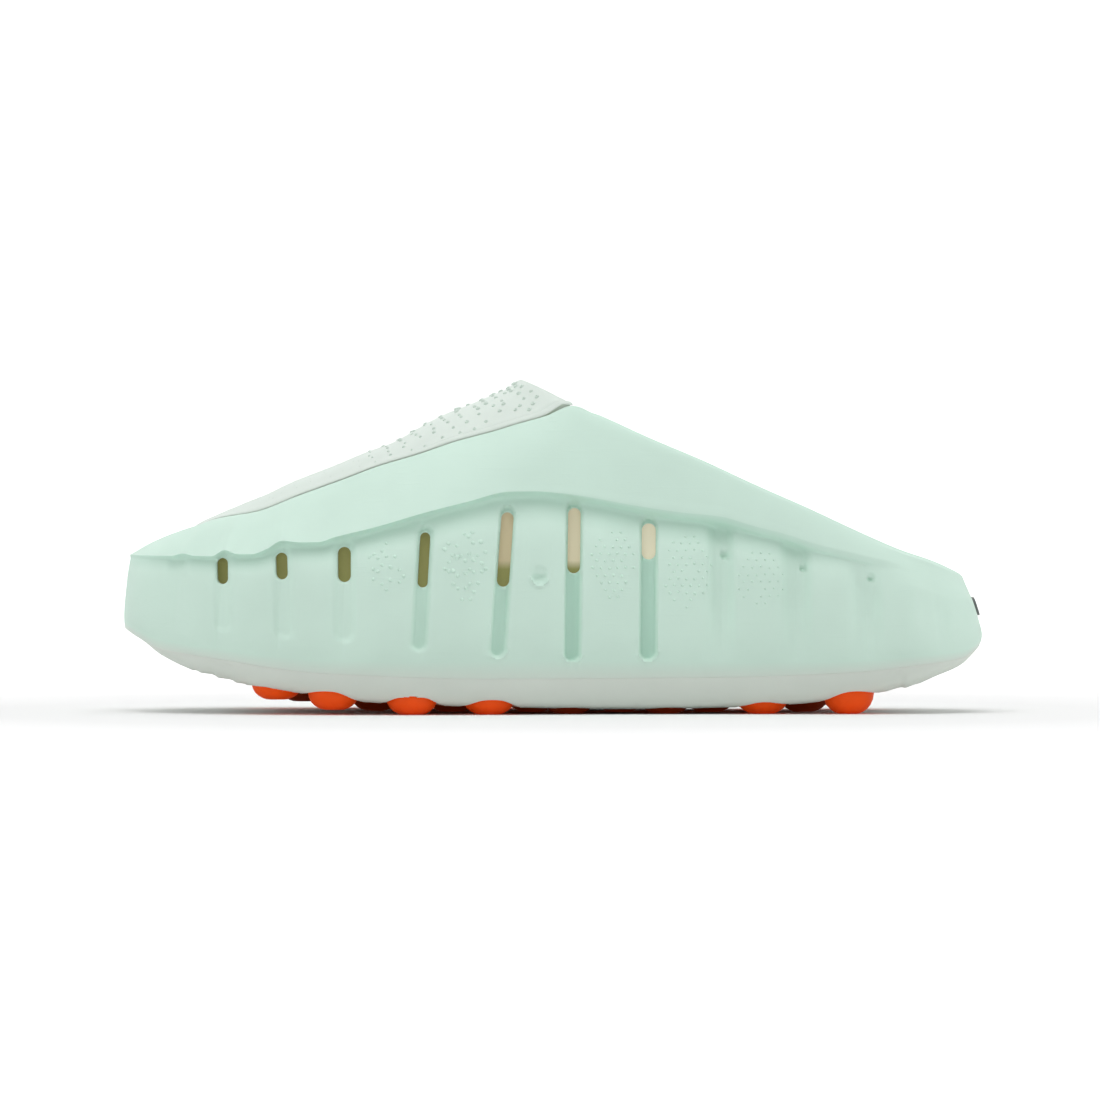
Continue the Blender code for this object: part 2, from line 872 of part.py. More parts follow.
def main():
    for obj in list(bpy.data.objects):
        bpy.data.objects.remove(obj, do_unlink=True)
    mule = bpy.data.collections.new("sneaker_mule")
    cutters = bpy.data.collections.new("cutters")
    for collection in (mule, cutters):
        bpy.context.scene.collection.children.link(collection)
    sole = make_sole(mule)
    cut_seats(sole, cutters)
    upper = make_upper(mule)
    cut_slots(upper, cutters)
    make_tongue(mule)
    make_insole(mule)
    make_studs(mule)
    make_badge(mule)
    bpy.context.view_layer.update()
    place_on_origin(mule)
    bpy.context.view_layer.update()


main()
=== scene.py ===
"""The looks of the moulded foam mule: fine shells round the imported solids, studio and camera."""

import math
import random

import bmesh
import bpy
import numpy as np
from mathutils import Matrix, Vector


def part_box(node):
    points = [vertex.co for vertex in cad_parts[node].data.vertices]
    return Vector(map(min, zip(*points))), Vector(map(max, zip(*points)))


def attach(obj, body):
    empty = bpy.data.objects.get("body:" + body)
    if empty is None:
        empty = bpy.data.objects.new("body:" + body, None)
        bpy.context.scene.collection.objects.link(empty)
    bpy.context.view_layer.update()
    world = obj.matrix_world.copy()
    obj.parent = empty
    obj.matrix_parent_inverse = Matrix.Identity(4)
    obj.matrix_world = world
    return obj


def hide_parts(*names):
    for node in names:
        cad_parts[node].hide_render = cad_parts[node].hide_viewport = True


# The shoe's own sizes, in metres, as the solids have them
LENGTH = 0.300
HEIGHT = 0.116
BALL_WIDTH = 0.1125
GAP = 0.0003
WALL = 0.0045
BROW_THICKNESS = 0.0072
RIM_THICKNESS = 0.0038
RIM_ROUND = 0.0009
TONGUE_THICKNESS = 0.0028
INSOLE_THICKNESS = 0.0038
INSOLE_DISH = 0.0012
INSOLE_SOFT_EDGE = 0.0012
INSOLE_EDGE_REACH = 0.002
INSOLE_END = 0.02
INSOLE_DRAW = 0.12
INSOLE_ROWS = 180
INSOLE_COLUMNS = 40
BROW_OVERHANG = 0.0042
BROW_CROWN = 0.14
POD_BULGE = 0.0011
POD_ROUNDING = 0.8
THROAT_SCOOP = 0.0180
TONGUE_DROP = 0.0005
STUD_RADIUS = 0.0090
STUD_SEAT = 0.0050
SOLE_ROUND = 0.0080
SLOT_WIDTH = 0.0052
TONGUE_RISE = 0.0106
BADGE_WIDTH = 0.0200
BADGE_HEIGHT = 0.0064
BADGE_CENTRE = 0.0370
BADGE_ARC_STEPS = 16
# share of the badge's size, how far it stands out from the heel
BADGE_RINGS = (
    (1.0, -0.0004), (1.0, 0.0006), (0.975, 0.0009),
    (0.93, 0.0010), (0.5, 0.0010), (0.0, 0.0010),
)
THROAT = 0.4755
COLLAR_BLEND = 0.030
THROAT_ROW = 7
TOE_ROW = 14

# step in rows of ROUND for directions, and halvings in the search for a station
PROBE = 0.01
HALVINGS = 40

# outline_across, outline_along, rim_across, rim_along
ROUND = (
    (0.000, 0.000, 0.000, 0.023),
    (-0.196, 0.012, -0.150, 0.034),
    (-0.330, 0.062, -0.258, 0.078),
    (-0.382, 0.140, -0.303, 0.147),
    (-0.386, 0.233, -0.313, 0.235),
    (-0.386, 0.333, -0.312, 0.334),
    (-0.404, 0.430, -0.297, 0.428),
    (-0.422, THROAT, -0.286, THROAT),
    (-0.452, 0.540, -0.280, 0.538),
    (-0.486, 0.640, -0.268, 0.634),
    (-0.487, 0.733, -0.254, 0.732),
    (-0.440, 0.827, -0.190, 0.822),
    (-0.332, 0.913, -0.112, 0.884),
    (-0.172, 0.973, -0.050, 0.911),
    (0.045, 1.000, 0.006, 0.918),
    (0.235, 0.983, 0.062, 0.909),
    (0.392, 0.927, 0.130, 0.880),
    (0.476, 0.850, 0.204, 0.825),
    (0.508, 0.750, 0.258, 0.738),
    (0.494, 0.645, 0.270, 0.638),
    (0.446, 0.543, 0.281, 0.538),
    (0.410, THROAT, 0.286, THROAT),
    (0.384, 0.430, 0.296, 0.428),
    (0.357, 0.333, 0.306, 0.334),
    (0.348, 0.233, 0.305, 0.235),
    (0.364, 0.140, 0.300, 0.147),
    (0.320, 0.062, 0.250, 0.078),
    (0.180, 0.012, 0.142, 0.034),
)

# station, height of the sole's lower edge
SOLE_EDGE = (
    (0.000, 0.195), (0.025, 0.142), (0.057, 0.110), (0.088, 0.079),
    (0.125, 0.062), (0.170, 0.044), (0.220, 0.029), (0.300, 0.019),
    (0.420, 0.015), (0.530, 0.020), (0.620, 0.026), (0.710, 0.037),
    (0.790, 0.064), (0.850, 0.086), (0.885, 0.108), (0.912, 0.127),
    (0.935, 0.150), (0.955, 0.176), (0.970, 0.205), (0.985, 0.232),
    (1.000, 0.248),
)

# station, height of the seam between sole and upper
SEAM = (
    (0.000, 0.205), (0.026, 0.166), (0.080, 0.146), (0.150, 0.126),
    (0.320, 0.110), (0.560, 0.107), (0.760, 0.124), (0.820, 0.140),
    (0.870, 0.160), (0.910, 0.175), (0.955, 0.196), (0.980, 0.226),
    (1.000, 0.254),
)

# station, height of the brow's lower edge
LEDGE = (
    (0.000, 0.369), (0.030, 0.389), (0.080, 0.434), (0.126, 0.447),
    (0.156, 0.464), (0.194, 0.487), (0.230, 0.517), (0.268, 0.542),
    (0.304, 0.569), (0.353, 0.586), (0.407, 0.611), (0.480, 0.649),
    (0.513, 0.657), (0.543, 0.656), (0.596, 0.624), (0.643, 0.594),
    (0.700, 0.552), (0.752, 0.520), (0.768, 0.507), (0.790, 0.506),
    (0.812, 0.511), (0.830, 0.487), (0.848, 0.471), (0.865, 0.471),
    (0.880, 0.483), (0.896, 0.465), (0.916, 0.466), (0.930, 0.473),
    (0.945, 0.466), (0.975, 0.467), (1.000, 0.469),
)

# station of the rim, height of the rim
RIM_HEIGHT = (
    (0.023, 0.415), (0.058, 0.451), (0.094, 0.480), (0.152, 0.543),
    (0.210, 0.612), (0.268, 0.678), (0.327, 0.749), (0.385, 0.813),
    (0.444, 0.883), (THROAT, 0.918), (0.506, 0.888), (0.536, 0.866),
    (0.568, 0.841), (0.610, 0.812), (0.652, 0.775), (0.700, 0.738),
    (0.740, 0.699), (0.793, 0.650), (0.840, 0.604), (0.886, 0.583),
    (0.918, 0.555),
)

# station, lean of the wall between seam and brow as a share of BALL_WIDTH
LEAN = (
    (0.00, 0.040), (0.10, 0.040), (0.25, 0.042), (0.42, 0.058),
    (0.55, 0.066), (0.70, 0.054), (0.85, 0.032), (0.95, 0.020),
    (1.00, 0.016),
)

# station, share of BROW_OVERHANG
OVERHANG = (
    (0.00, 0.00), (0.08, 0.02), (0.14, 0.25), (0.25, 0.75),
    (0.35, 1.00), (0.65, 1.00), (0.78, 0.80), (0.90, 0.60),
    (0.96, 0.30), (1.00, 0.06),
)

# station, rounding of the brow's lower edge in metres, crisper in front
LIP_ROUND = ((0.30, 0.0018), (0.50, 0.0005))
# station, share of the brow's width over which its lower edge rolls in
LIP_ROLL = ((0.30, 0.16), (0.50, 0.030))

# station, height of the plateau inside the upper
PLATEAU = (
    (0.00, 0.232), (0.03, 0.208), (0.10, 0.184), (0.23, 0.172),
    (0.50, 0.168), (0.70, 0.172), (0.83, 0.190), (0.92, 0.216),
    (0.97, 0.246), (1.00, 0.272),
)

# height between seam and brow, share of the lean, share of the pods' bulge, share of the overhang
WALL_LEVELS = (
    (0.00, 0.00, 0.00, 0.00),
    (0.09, -0.12, 0.10, 0.00),
    (0.20, -0.05, 0.80, 0.00),
    (0.50, 0.30, 1.00, 0.05),
    (0.80, 0.72, 1.00, 0.35),
    (0.92, 0.90, 0.85, 0.90),
    (0.98, 0.98, 0.45, 0.95),
    (1.00, 1.00, 0.15, 0.30),
)
# height between seam and brow, share of the brow's extra thickness
INNER_LEVELS = ((1.00, 1.00), (0.75, 0.75), (0.40, 0.10), (0.12, 0.0), (0.00, 0.00))
BROW_LEVELS = (0.30, 0.65)

# steps of the fine mesh between one point of a section and the next
SECTION_STEPS = (3, 12, 24, 30, 8, 4, 3, 4, 3, 5, 5, 5, 3, 3, 4, 4, 3, 3, 3, 2)

# station, slot width as a share of SLOT_WIDTH, slot foot, slot top, slot lean in degrees,
# then in metres half width and depth of the trench and softness of its sides, last its foot
TRENCHES = (
    (0.058, 0.0, 0.0, 0.0, 0.0, 0.0036, 0.0012, 0.0050, 0.18),
    (0.139, 0.0, 0.0, 0.0, 0.0, 0.0026, 0.0021, 0.0040, 0.17),
    (0.219, 0.0, 0.0, 0.0, 0.0, 0.0024, 0.0023, 0.0036, 0.17),
    (0.305, 0.0, 0.0, 0.0, 0.0, 0.0020, 0.0024, 0.0032, 0.17),
    (0.388, 0.92, 0.460, 0.567, 0.5, 0.0020, 0.0026, 0.0014, 0.170),
    (0.474, 0.83, 0.419, 0.613, 0.8, 0.0019, 0.0026, 0.0014, 0.165),
    (0.553, 0.81, 0.379, 0.600, 3.9, 0.0018, 0.0023, 0.0014, 0.180),
    (0.646, 0.67, 0.377, 0.540, 3.0, 0.0015, 0.0019, 0.0018, 0.200),
    (0.737, 0.86, 0.393, 0.497, -0.8, 0.0020, 0.0010, 0.0026, 0.230),
    (0.809, 0.77, 0.401, 0.480, -3.0, 0.0018, 0.0009, 0.0026, 0.240),
    (0.878, 0.73, 0.387, 0.464, -2.0, 0.0016, 0.0008, 0.0026, 0.260),
    (0.932, 0.0, 0.0, 0.0, 0.0, 0.0024, 0.0007, 0.0030, 0.300),
)
PLAIN_TRENCH_MIDDLE = 0.35
SLOT_ROUND = 0.0007
SLOT_EDGE = 0.0002
SLOT_MIDDLE = 0.0030
SLOT_HEAD = 0.0010
# shares of the wall's height between which its relief fades out below the brow's lip
LIP_START = 0.955
LIP_END = 1.005
LEAST_FACING = 0.35
FOOT_LOW = 0.06
FOOT_RISE = 0.26
# stations over which the lip melts into the wall at the heel, and how much lower relief ends there
HEEL_FADE = 0.130
HEEL_BLEND = 0.06
HEEL_RUN_OUT = 0.45
# points of a section between which the lip melts away round the heel
HEEL_MELTED = (4, 11)
GROOVE_FULL = 0.0026
# raised lips round the feet of deep trenches and of the middle dimple
FOOT_RIDGE = 0.0006
FOOT_RIDGE_WIDTH = 0.0005
FOOT_RIDGE_FROM = 0.0022
BOWL_ROUNDING = 0.6
BOWL_FADE = 0.6
DIMPLE_RIDGE = 0.0008
DIMPLE_RIDGE_FROM = 0.0025
DIMPLE_RIDGE_TO = 0.0035
LINING_GAP = 0.0004
LINING_THICKNESS = 0.0009
# where the lining ends on the way from rim to brow, and how much nearer the rim at the collar
LINING_HEAD = 0.90
LINING_DROP = 0.45
LINING_COLUMNS = 420
LINING_STEPS = (3, 6, 4, 4, 3, 2, 3, 4, 4, 6, 3)
SLOT_REACH_OUT = 0.012
SLOT_REACH_IN = 0.011
SLOT_ARC_STEPS = 14

# angle beyond which an edge shows sharp, on thin pieces and on blocks
THIN_CREASE = math.radians(50)
BLOCK_CREASE = math.radians(60)

# station and height of a round dimple, radius, depth, height up to which a groove runs
DIMPLES = (
    (0.5135, 0.4080, 0.0029, 0.0017, 0.416),
    (0.5130, 0.4300, 0.0045, 0.0005, 0.570),
    (0.3008, 0.4700, 0.0014, 0.0021, 0.478),
    (0.2106, 0.4340, 0.0014, 0.0020, 0.440),
    (0.1322, 0.4020, 0.0013, 0.0018, 0.408),
)

# spacing of the fine mesh along the outline
SLOT_BAND = 0.0056
SOFT_BAND = 0.0090
DIMPLE_MARGIN = 0.0010
FINE_STEP = 0.00048
SOFT_STEP = 0.0012
POD_STEP = 0.0017

# inset as a share of SOLE_ROUND, share of the way from lower edge to seam
SOLE_SIDE = ((0.05, 0.60), (0.22, 0.28), (0.52, 0.08), (1.00, 0.00))
SOLE_STEPS = (2, 3, 6, 7, 7, 7)
SOLE_CORNER = 0.00006
SEAM_GAP = 0.00002
SCALLOP_RISE = 0.0026
TREAD_RISE = 0.0006
TREAD_FRONT = 5
TREAD_BACK = 1.6
# toward toe or heel, then in metres from the middle start, its fade, end, its fade, pitch
TREADS = (
    (1, 0.102, 0.006, 0.121, 0.004, 0.0064),
    (-1, 0.113, 0.004, 0.124, 0.004, 0.0072),
)
UNDER_MARGIN = 0.0016
SOLE_COLUMNS = 420
UNDER_COLUMNS = 84
SEAT_SOFTNESS = 0.0016

# tongue: way from its front tip to the throat, crown above its edges as a share of TONGUE_RISE
TONGUE_CROWN = (
    (0.00, 0.03), (0.15, 0.16), (0.25, 0.20), (0.32, 0.32), (0.40, 0.51), (0.50, 0.57),
    (0.60, 0.57), (0.65, 0.57), (0.72, 0.77), (0.80, 0.95), (0.90, 0.99), (1.00, 0.98),
)
TONGUE_ROWS = 220
TONGUE_COLUMNS = 110
HEM_WIDTH = 0.0017
HEM_RISE = 0.0003
HEM_GROOVE = 0.0005
HEM_GROOVE_WIDTH = 0.0004
HEM_PROUD = 0.0011
HEM_THICKNESS = 0.0007
HEM_GAP = 0.0009
MOST_DRAWN = 0.45
ARCH_ROUNDING = 0.8
SKIRT_DEPTH = 0.0026
TONGUE_LIFT = 0.0012
TONGUE_TIP = 0.004
# how far in from the tongue's edge each form reaches
HEM_SOFT = 0.0004
PROUD_REACH = 0.006
LIFT_REACH = 0.010
EDGE_REACH = 0.0006
BODY_REACH = 0.005
# start and run over which a form sets in or ends: across for the skirt, else along the tongue
SKIRT_FROM, SKIRT_TO = (0.0007, 0.0005), (0.003, 0.004)
LINE_FROM, HEM_FROM = (0.12, 0.15), (0.32, 0.15)
LIFT_FROM, LIFT_TO = (0.90, 0.07), (0.965, 0.035)

# dots stand in staggered rows: distance of two rows as a share of the pitch
ROW_SHARE = 0.87
TONGUE_DOT_PITCH = 0.0044
TONGUE_DOT_RUN = 0.28
TONGUE_DOTS_FROM = 0.40
TONGUE_DOTS_WAY = 0.585
CRATERS_FROM = 0.62
DOT_MARGIN = 0.0030
DOT_STAGGER = 0.25
DOT_SCATTER = 0.26
TONGUE_DOTS_MISSING = 0.10
SURFACE_STEP = 0.004
DOT_SLIP = (-0.006, 0.004)
DOT_LEAST = 0.40
DOT_GROWTH = 0.42
DOT_GROWS_FROM = (0.55, 0.25)
DOT_SPREAD = (0.75, 1.15)
# radius and height of each ring of a tongue dot, a crater or a plain one
CRATER = ((0.00100, -0.0004), (0.00094, 0.00014), (0.00080, 0.00056), (0.00056, 0.00070),
          (0.00036, 0.00054), (0.00022, 0.00020), (0.0, 0.00012))
PIMPLE = ((0.00062, -0.0003), (0.00052, 0.00010), (0.00034, 0.00026), (0.0, 0.00032))

POD_DOT_PITCH = 0.0028
POD_ROW_SHARE = 0.86
POD_DOT_RADIUS = 0.95
POD_DOT_HEIGHT = 1.25
POD_DOTS_MISSING = 0.12
POD_ZONE_END = 1.2
POD_DOT_STEP = 0.001
POD_DOT_SPREAD = (0.8, 1.1)
# stations and heights between which the pods' dots stand, scatter in shares of the pitch, size
DOT_ZONES = (
    (0.672, 0.712, 0.375, 0.505, 0.45, 1.35),
    (0.577, 0.624, 0.350, 0.545, 0.45, 1.50),
    (0.408, 0.455, 0.350, 0.540, 0.10, 1.00),
    (0.320, 0.372, 0.320, 0.530, 0.10, 1.00),
    (0.238, 0.288, 0.330, 0.480, 0.10, 0.80),
)

STUDS = (
    ("outer", (0.155, 0.257, 0.365, 0.470, 0.566, 0.658, 0.755, 0.832)),
    ("middle", (0.205, 0.315, 0.420, 0.523, 0.617, 0.706, 0.790)),
    ("inner", (0.155, 0.257, 0.365, 0.566, 0.658, 0.755, 0.832)),
)
# station, inset of the studs from the outline as a share of BALL_WIDTH
STUD_INSET = (
    (0.155, 0.112), (0.257, 0.124), (0.365, 0.151), (0.470, 0.151),
    (0.566, 0.106), (0.658, 0.098), (0.755, 0.107), (0.832, 0.136),
)
STUD_SIDES = 48
# stations between which the studs stand in deep shade, and the share of their tone there, for the copy of
# the rubber with that shade painted in
SHADED_FROM = 0.30
SHADED_TO = 0.52
SHADED_TONE = 0.25
# station, height of the studs' feet
STUD_FOOT = ((0.00, 0.0), (0.68, 0.0), (0.75, 0.014), (0.83, 0.050), (1.00, 0.130))
# height between a stud's foot and top, share of STUD_RADIUS
STUD_RINGS = (
    (0.000, 0.300), (0.012, 0.420), (0.060, 0.560), (0.150, 0.710),
    (0.290, 0.850), (0.480, 0.945), (0.720, 0.988), (1.000, 1.000),
)

# Colours, linear
MINT = (0.640, 0.835, 0.730)
# darker mint, used as painted shade in the grooves and under the brow
MINT_PAINTED_SHADE = (0.460, 0.700, 0.580)
SOLE_PALE = (0.680, 0.740, 0.675)
# share of a groove's depth, or of the wall's height, from and to, and share of the other tone there:
# darker mint as painted shade in the slotted grooves, the sole's pale tone at the seam
GROOVE_PAINTED_SHADE = (0.45, 1.0, 0.0, 0.80)
SEAM_TONE = (0.0, 0.10, 0.75, 0.0)
# share of painted shade, a darker mint, under the brow, heights and places between which it sets in
BROW_SHADE = 0.45
BROW_SHADE_RISE = (0.84, 1.0)
BROW_SHADE_Y = (-0.120, -0.060)
# height on the wall that points off its outer face are given
MID_WALL = 0.5
TONGUE_PALE = (0.700, 0.785, 0.725)
# the dots' own mint, darkened further with painted shade for their hollow craters
DOT_MINT_AND_SHADE = (0.635, 0.740, 0.670)
CREAM = (0.850, 0.770, 0.600)
PEACH = (0.600, 0.500, 0.320)
OLIVE_PAINTED_SHADE = (0.290, 0.280, 0.100)
ORANGE = (0.980, 0.090, 0.003)
BADGE_GREY = (0.110, 0.125, 0.120)
FLOOR_PALE = (0.900, 0.900, 0.900)
WHITE = (1.0, 1.0, 1.0, 1.0)

# heights and places between which the lining turns from olive painted shade to its pale lit tone, and
# from cream to peach
LINING_LIT_Z = (0.0500, 0.0530)
LINING_LIT_Y = (0.0340, 0.0270)
LINING_PEACH_Y = (-0.0300, 0.0200)

# Painted light: the glow of the lining, where light falls in from above, and of the bright rubber
LINING_PAINTED_LIGHT = 0.23
STUD_PAINTED_LIGHT = 0.09

# name, place, aimed at, size across, size along, power in watts
LIGHTS = (
    ("overhead", (-0.35, 0.15, 1.5), (0.0, 0.0, 0.05), 1.4, 1.6, 16.2),
    ("front_fill", (-1.8, 0.5, 0.9), (0.0, 0.0, 0.05), 1.2, 1.0, 2.6),
    ("toe_side", (-0.2, 1.5, 0.6), (0.0, 0.1, 0.05), 0.9, 0.9, 2.2),
    ("heel_side", (-0.2, -1.5, 0.6), (0.0, -0.1, 0.05), 0.9, 0.9, 5.2),
)
SURROUND = 0.235
# the floor's front edge and half width, its sweep up to the wall behind, that wall's top
FLOOR_FRONT = -6.0
FLOOR_HALF = 5.0
SWEEP_START = 1.2
SWEEP_RADIUS = 0.8
SWEEP_STEPS = 12
WALL_TOP = 4.0
# distance from the shoe's middle, and how strongly the floor glows out to there
FLOOR_GLOW_NEAR = (0.20, 0.0)
FLOOR_GLOW_FAR = (0.80, 0.50)

# Camera: the photo's 1100 px cover 386.1 mm in the shoe's middle plane
CAMERA_DISTANCE = 2.2
CAMERA_HEIGHT = 0.0566
CAMERA_ALONG = 0.00065
PICTURE_WIDTH = 0.3861
SENSOR = 36.0

PLACE = Vector((0.0, 0.0, 0.0))
UPRIGHT = Vector((1.0, 0.0, 0.0)), Vector((0.0, 1.0, 0.0)), Vector((0.0, 0.0, 1.0))


def curve(t, span, start, leaving, end, arriving):
    """A value on the smooth curve between two values with the slopes given at both."""
    return (
        (2 * t**3 - 3 * t**2 + 1) * start
        + (t**3 - 2 * t**2 + t) * span * leaving
        + (3 * t**2 - 2 * t**3) * end
        + (t**3 - t**2) * span * arriving
    )


def along_table(table, place):
    """The value of a two-column table at a place, on a curve with no overshoot."""
    if place <= table[0][0]:
        return table[0][1]
    if place >= table[-1][0]:
        return table[-1][1]
    k = max(i for i in range(len(table) - 1) if table[i][0] <= place)

    def slope(i):
        return (table[i + 1][1] - table[i][1]) / (table[i + 1][0] - table[i][0])

    def tangent(i):
        if i == 0:
            return slope(0)
        if i == len(table) - 1:
            return slope(i - 1)
        before, after = slope(i - 1), slope(i)
        return 0.0 if before * after <= 0 else 2 * before * after / (before + after)

    span = table[k + 1][0] - table[k][0]
    t = (place - table[k][0]) / span
    return curve(t, span, table[k][1], tangent(k), table[k + 1][1], tangent(k + 1))


def round_row(turn):
    """The row of ROUND at a fractional index, on a smooth closed curve."""
    count = len(ROUND)
    k = math.floor(turn)
    t = turn - k
    rows = [ROUND[(k + step) % count] for step in (-1, 0, 1, 2)]
    return [
        curve(t, 0.5, here, after - before, after, later - here)
        for before, here, after, later in zip(*rows)
    ]


def outline(turn):
    row = round_row(turn)
    return Vector((row[0] * BALL_WIDTH, (row[1] - 0.5) * LENGTH, 0.0))


def station_of(point):
    return point.y / LENGTH + 0.5


def at_turn(table, turn):
    """A table's value at the station of a place on the outline."""
    return along_table(table, station_of(outline(turn)))


def outward(turn):
    ahead = outline(turn + PROBE) - outline(turn - PROBE)
    return Vector((-ahead.y, ahead.x, 0.0)).normalized()


def seam_height(turn):
    return at_turn(SEAM, turn) * HEIGHT


def ledge_height(turn):
    return at_turn(LEDGE, turn) * HEIGHT


def rim(turn):
    row = round_row(turn)
    height = along_table(RIM_HEIGHT, row[3]) * HEIGHT
    return Vector((row[2] * BALL_WIDTH, (row[3] - 0.5) * LENGTH, height))


def collar_share(turn):
    station = round_row(turn)[3]
    return min(1.0, max(0.0, (THROAT - station) / COLLAR_BLEND))


def turn_at(station, side):
    low, high = (0.0, TOE_ROW) if side == "outer" else (len(ROUND), TOE_ROW)
    for _ in range(HALVINGS):
        middle = (low + high) / 2
        if station_of(outline(middle)) < station:
            low = middle
        else:
            high = middle
    return (low + high) / 2


def turn_step(turn, distance):
    speed = (outline(turn + PROBE) - outline(turn - PROBE)).length / (2 * PROBE)
    return distance / speed


def lean_at(turn):
    return at_turn(LEAN, turn) * BALL_WIDTH


def inset_point(turn, inset, height):
    point = outline(turn) - outward(turn) * inset
    point.z = height
    return point


def wall_point(turn, bulge, level):
    height_share, lean_share, bulge_share, overhang_share = level
    overhang = at_turn(OVERHANG, turn) * BROW_OVERHANG
    inset = lean_share * lean_at(turn) - bulge * bulge_share + overhang_share * overhang
    low, high = seam_height(turn), ledge_height(turn)
    return inset_point(turn, inset, low + (high - low) * height_share)


def wall_at_height(turn, bulge, height):
    """A point of the outer face at a height, between two levels of the wall."""
    points = [wall_point(turn, bulge, level) for level in WALL_LEVELS]
    for low, high in zip(points, points[1:]):
        if high.z >= height:
            return low.lerp(high, (height - low.z) / (high.z - low.z))
    return points[-1]


def lip_point(turn):
    return inset_point(turn, lean_at(turn), ledge_height(turn) + at_turn(LIP_ROUND, turn))


def crowned(low, high, share):
    """A point between two, raised by the brow's crown."""
    point = low.lerp(high, share)
    point.z += BROW_CROWN * math.sin(math.pi * share) * (high.z - low.z)
    return point


def brow_point(turn, share):
    return crowned(lip_point(turn), rim(turn), share)


def rim_inner(turn):
    collar = collar_share(turn)
    point = rim(turn) - outward(turn) * RIM_THICKNESS * collar
    point.z -= RIM_THICKNESS * (1 - collar)
    return point


def rim_middle(turn):
    point = (rim(turn) + rim_inner(turn)) / 2
    point.z += RIM_ROUND * collar_share(turn)
    return point


def inner_wall_point(turn, level):
    height_share, extra_share = level
    thickness = WALL + (BROW_THICKNESS - WALL) * extra_share
    low, high = seam_height(turn), ledge_height(turn)
    inset = thickness + lean_at(turn) * height_share
    return inset_point(turn, inset, low + (high - low) * height_share)


def inner_brow_point(turn, share):
    return crowned(inner_wall_point(turn, INNER_LEVELS[0]), rim_inner(turn), share)


def upper_section(turn, bulge):
    points = [wall_point(turn, bulge, level) for level in WALL_LEVELS]
    points.append(lip_point(turn))
    points.append(brow_point(turn, at_turn(LIP_ROLL, turn)))
    points += [brow_point(turn, share) for share in BROW_LEVELS]
    points += [rim(turn), rim_middle(turn), rim_inner(turn)]
    points.append(inner_brow_point(turn, 0.5))
    points += [inner_wall_point(turn, level) for level in INNER_LEVELS]
    return points


def smooth_rows(points, steps):
    """Fine points along many open rows of points at once, on smooth curves through them."""
    points = np.asarray(points, float)
    count = points.shape[1]
    gaps = np.linalg.norm(np.diff(points, axis=1), axis=2)
    gaps = np.maximum(np.sqrt(gaps), 1e-6)
    slopes = np.diff(points, axis=1) / gaps[:, :, None]
    tangents = np.empty_like(points)
    tangents[:, 0], tangents[:, -1] = slopes[:, 0], slopes[:, -1]
    before, after = gaps[:, :-1, None], gaps[:, 1:, None]
    tangents[:, 1:-1] = (slopes[:, :-1] * after + slopes[:, 1:] * before) / (before + after)
    fine = []
    for k in range(count - 1):
        span = gaps[:, k, None]
        for step in range(steps[k]):
            ends = points[:, k], tangents[:, k], points[:, k + 1], tangents[:, k + 1]
            fine.append(curve(step / steps[k], span, *ends))
    fine.append(points[:, -1])
    return np.stack(fine, axis=1)


def smoothstep(value):
    t = np.clip(value, 0.0, 1.0)
    return t * t * (3 - 2 * t)


def in_scene(name, data):
    obj = bpy.data.objects.new(name, data)
    bpy.context.scene.collection.objects.link(obj)
    return obj


def mesh_object(name, vertices, faces, material):
    mesh = bpy.data.meshes.new(name)
    mesh.from_pydata([tuple(v) for v in vertices], [], faces)
    mesh.update()
    mesh.shade_smooth()
    mesh.materials.append(material)
    obj = in_scene(name, mesh)
    obj.location = PLACE
    return obj


def grid_faces(rows, columns, wrap=False, ring=False, first=0):
    """Quads of a grid, closed from last row to first with wrap, from last column with ring."""
    faces = []
    for r in range(rows if wrap else rows - 1):
        here, after = first + r * columns, first + (r + 1) % rows * columns
        for c in range(columns if ring else columns - 1):
            n = (c + 1) % columns
            faces.append((here + c, here + n, after + n, after + c))
    return faces


def setting_in(value, start, run):
    return float(smoothstep((value - start) / run))


def all_round(outer, inner):
    """Places from the heel along the outer side to the toe and back along the inner side."""
    return outer + [float(TOE_ROW)] + inner[:0:-1]


def trench_turn(trench, side):
    """The place on the outline whose wall stands at the trench's station halfway up."""
    station, _, foot, top = trench[:4]
    turn = turn_at(station, side)
    height = ((foot + top) / 2 if top else PLAIN_TRENCH_MIDDLE) * HEIGHT
    for _ in range(4):
        place = wall_at_height(turn, 0.0, height)
        turn = turn_at(station_of(outline(turn)) + station - station_of(place), side)
    return turn


def side_turns(side):
    """Fine places round one side from heel tip to toe tip, closer at the trenches."""
    turn, sign = (0.0, 1) if side == "outer" else (float(len(ROUND)), -1)
    marks = []
    for trench in TRENCHES:
        band, step = (SLOT_BAND, FINE_STEP) if trench[1] else (SOFT_BAND, SOFT_STEP)
        marks.append((outline(trench_turn(trench, side)), band, step))
    for station, _, radius, *_ in DIMPLES:
        centre = outline(trench_turn((station, 0.0, 0.0, 0.0), side))
        marks.append((centre, radius + DIMPLE_MARGIN, FINE_STEP))
    turns = []
    while abs(TOE_ROW - turn) > turn_step(turn, POD_STEP / 2):
        turns.append(turn)
        here = outline(turn)
        step = min([POD_STEP] + [fine for centre, band, fine in marks if (here - centre).length < band])
        turn += sign * turn_step(turn, step)
    return turns


def pod_edges(side):
    heel = 0.0 if side == "outer" else float(len(ROUND))
    return [heel, *[trench_turn(trench, side) for trench in TRENCHES], float(TOE_ROW)]


def pod_bulge(turn, edges):
    """How far the wall stands out between two trenches."""
    for low, high in zip(edges, edges[1:]):
        share = (turn - low) / (high - low)
        if 0 <= share < 1:
            return POD_BULGE * math.sin(math.pi * share) ** POD_ROUNDING
    return 0.0


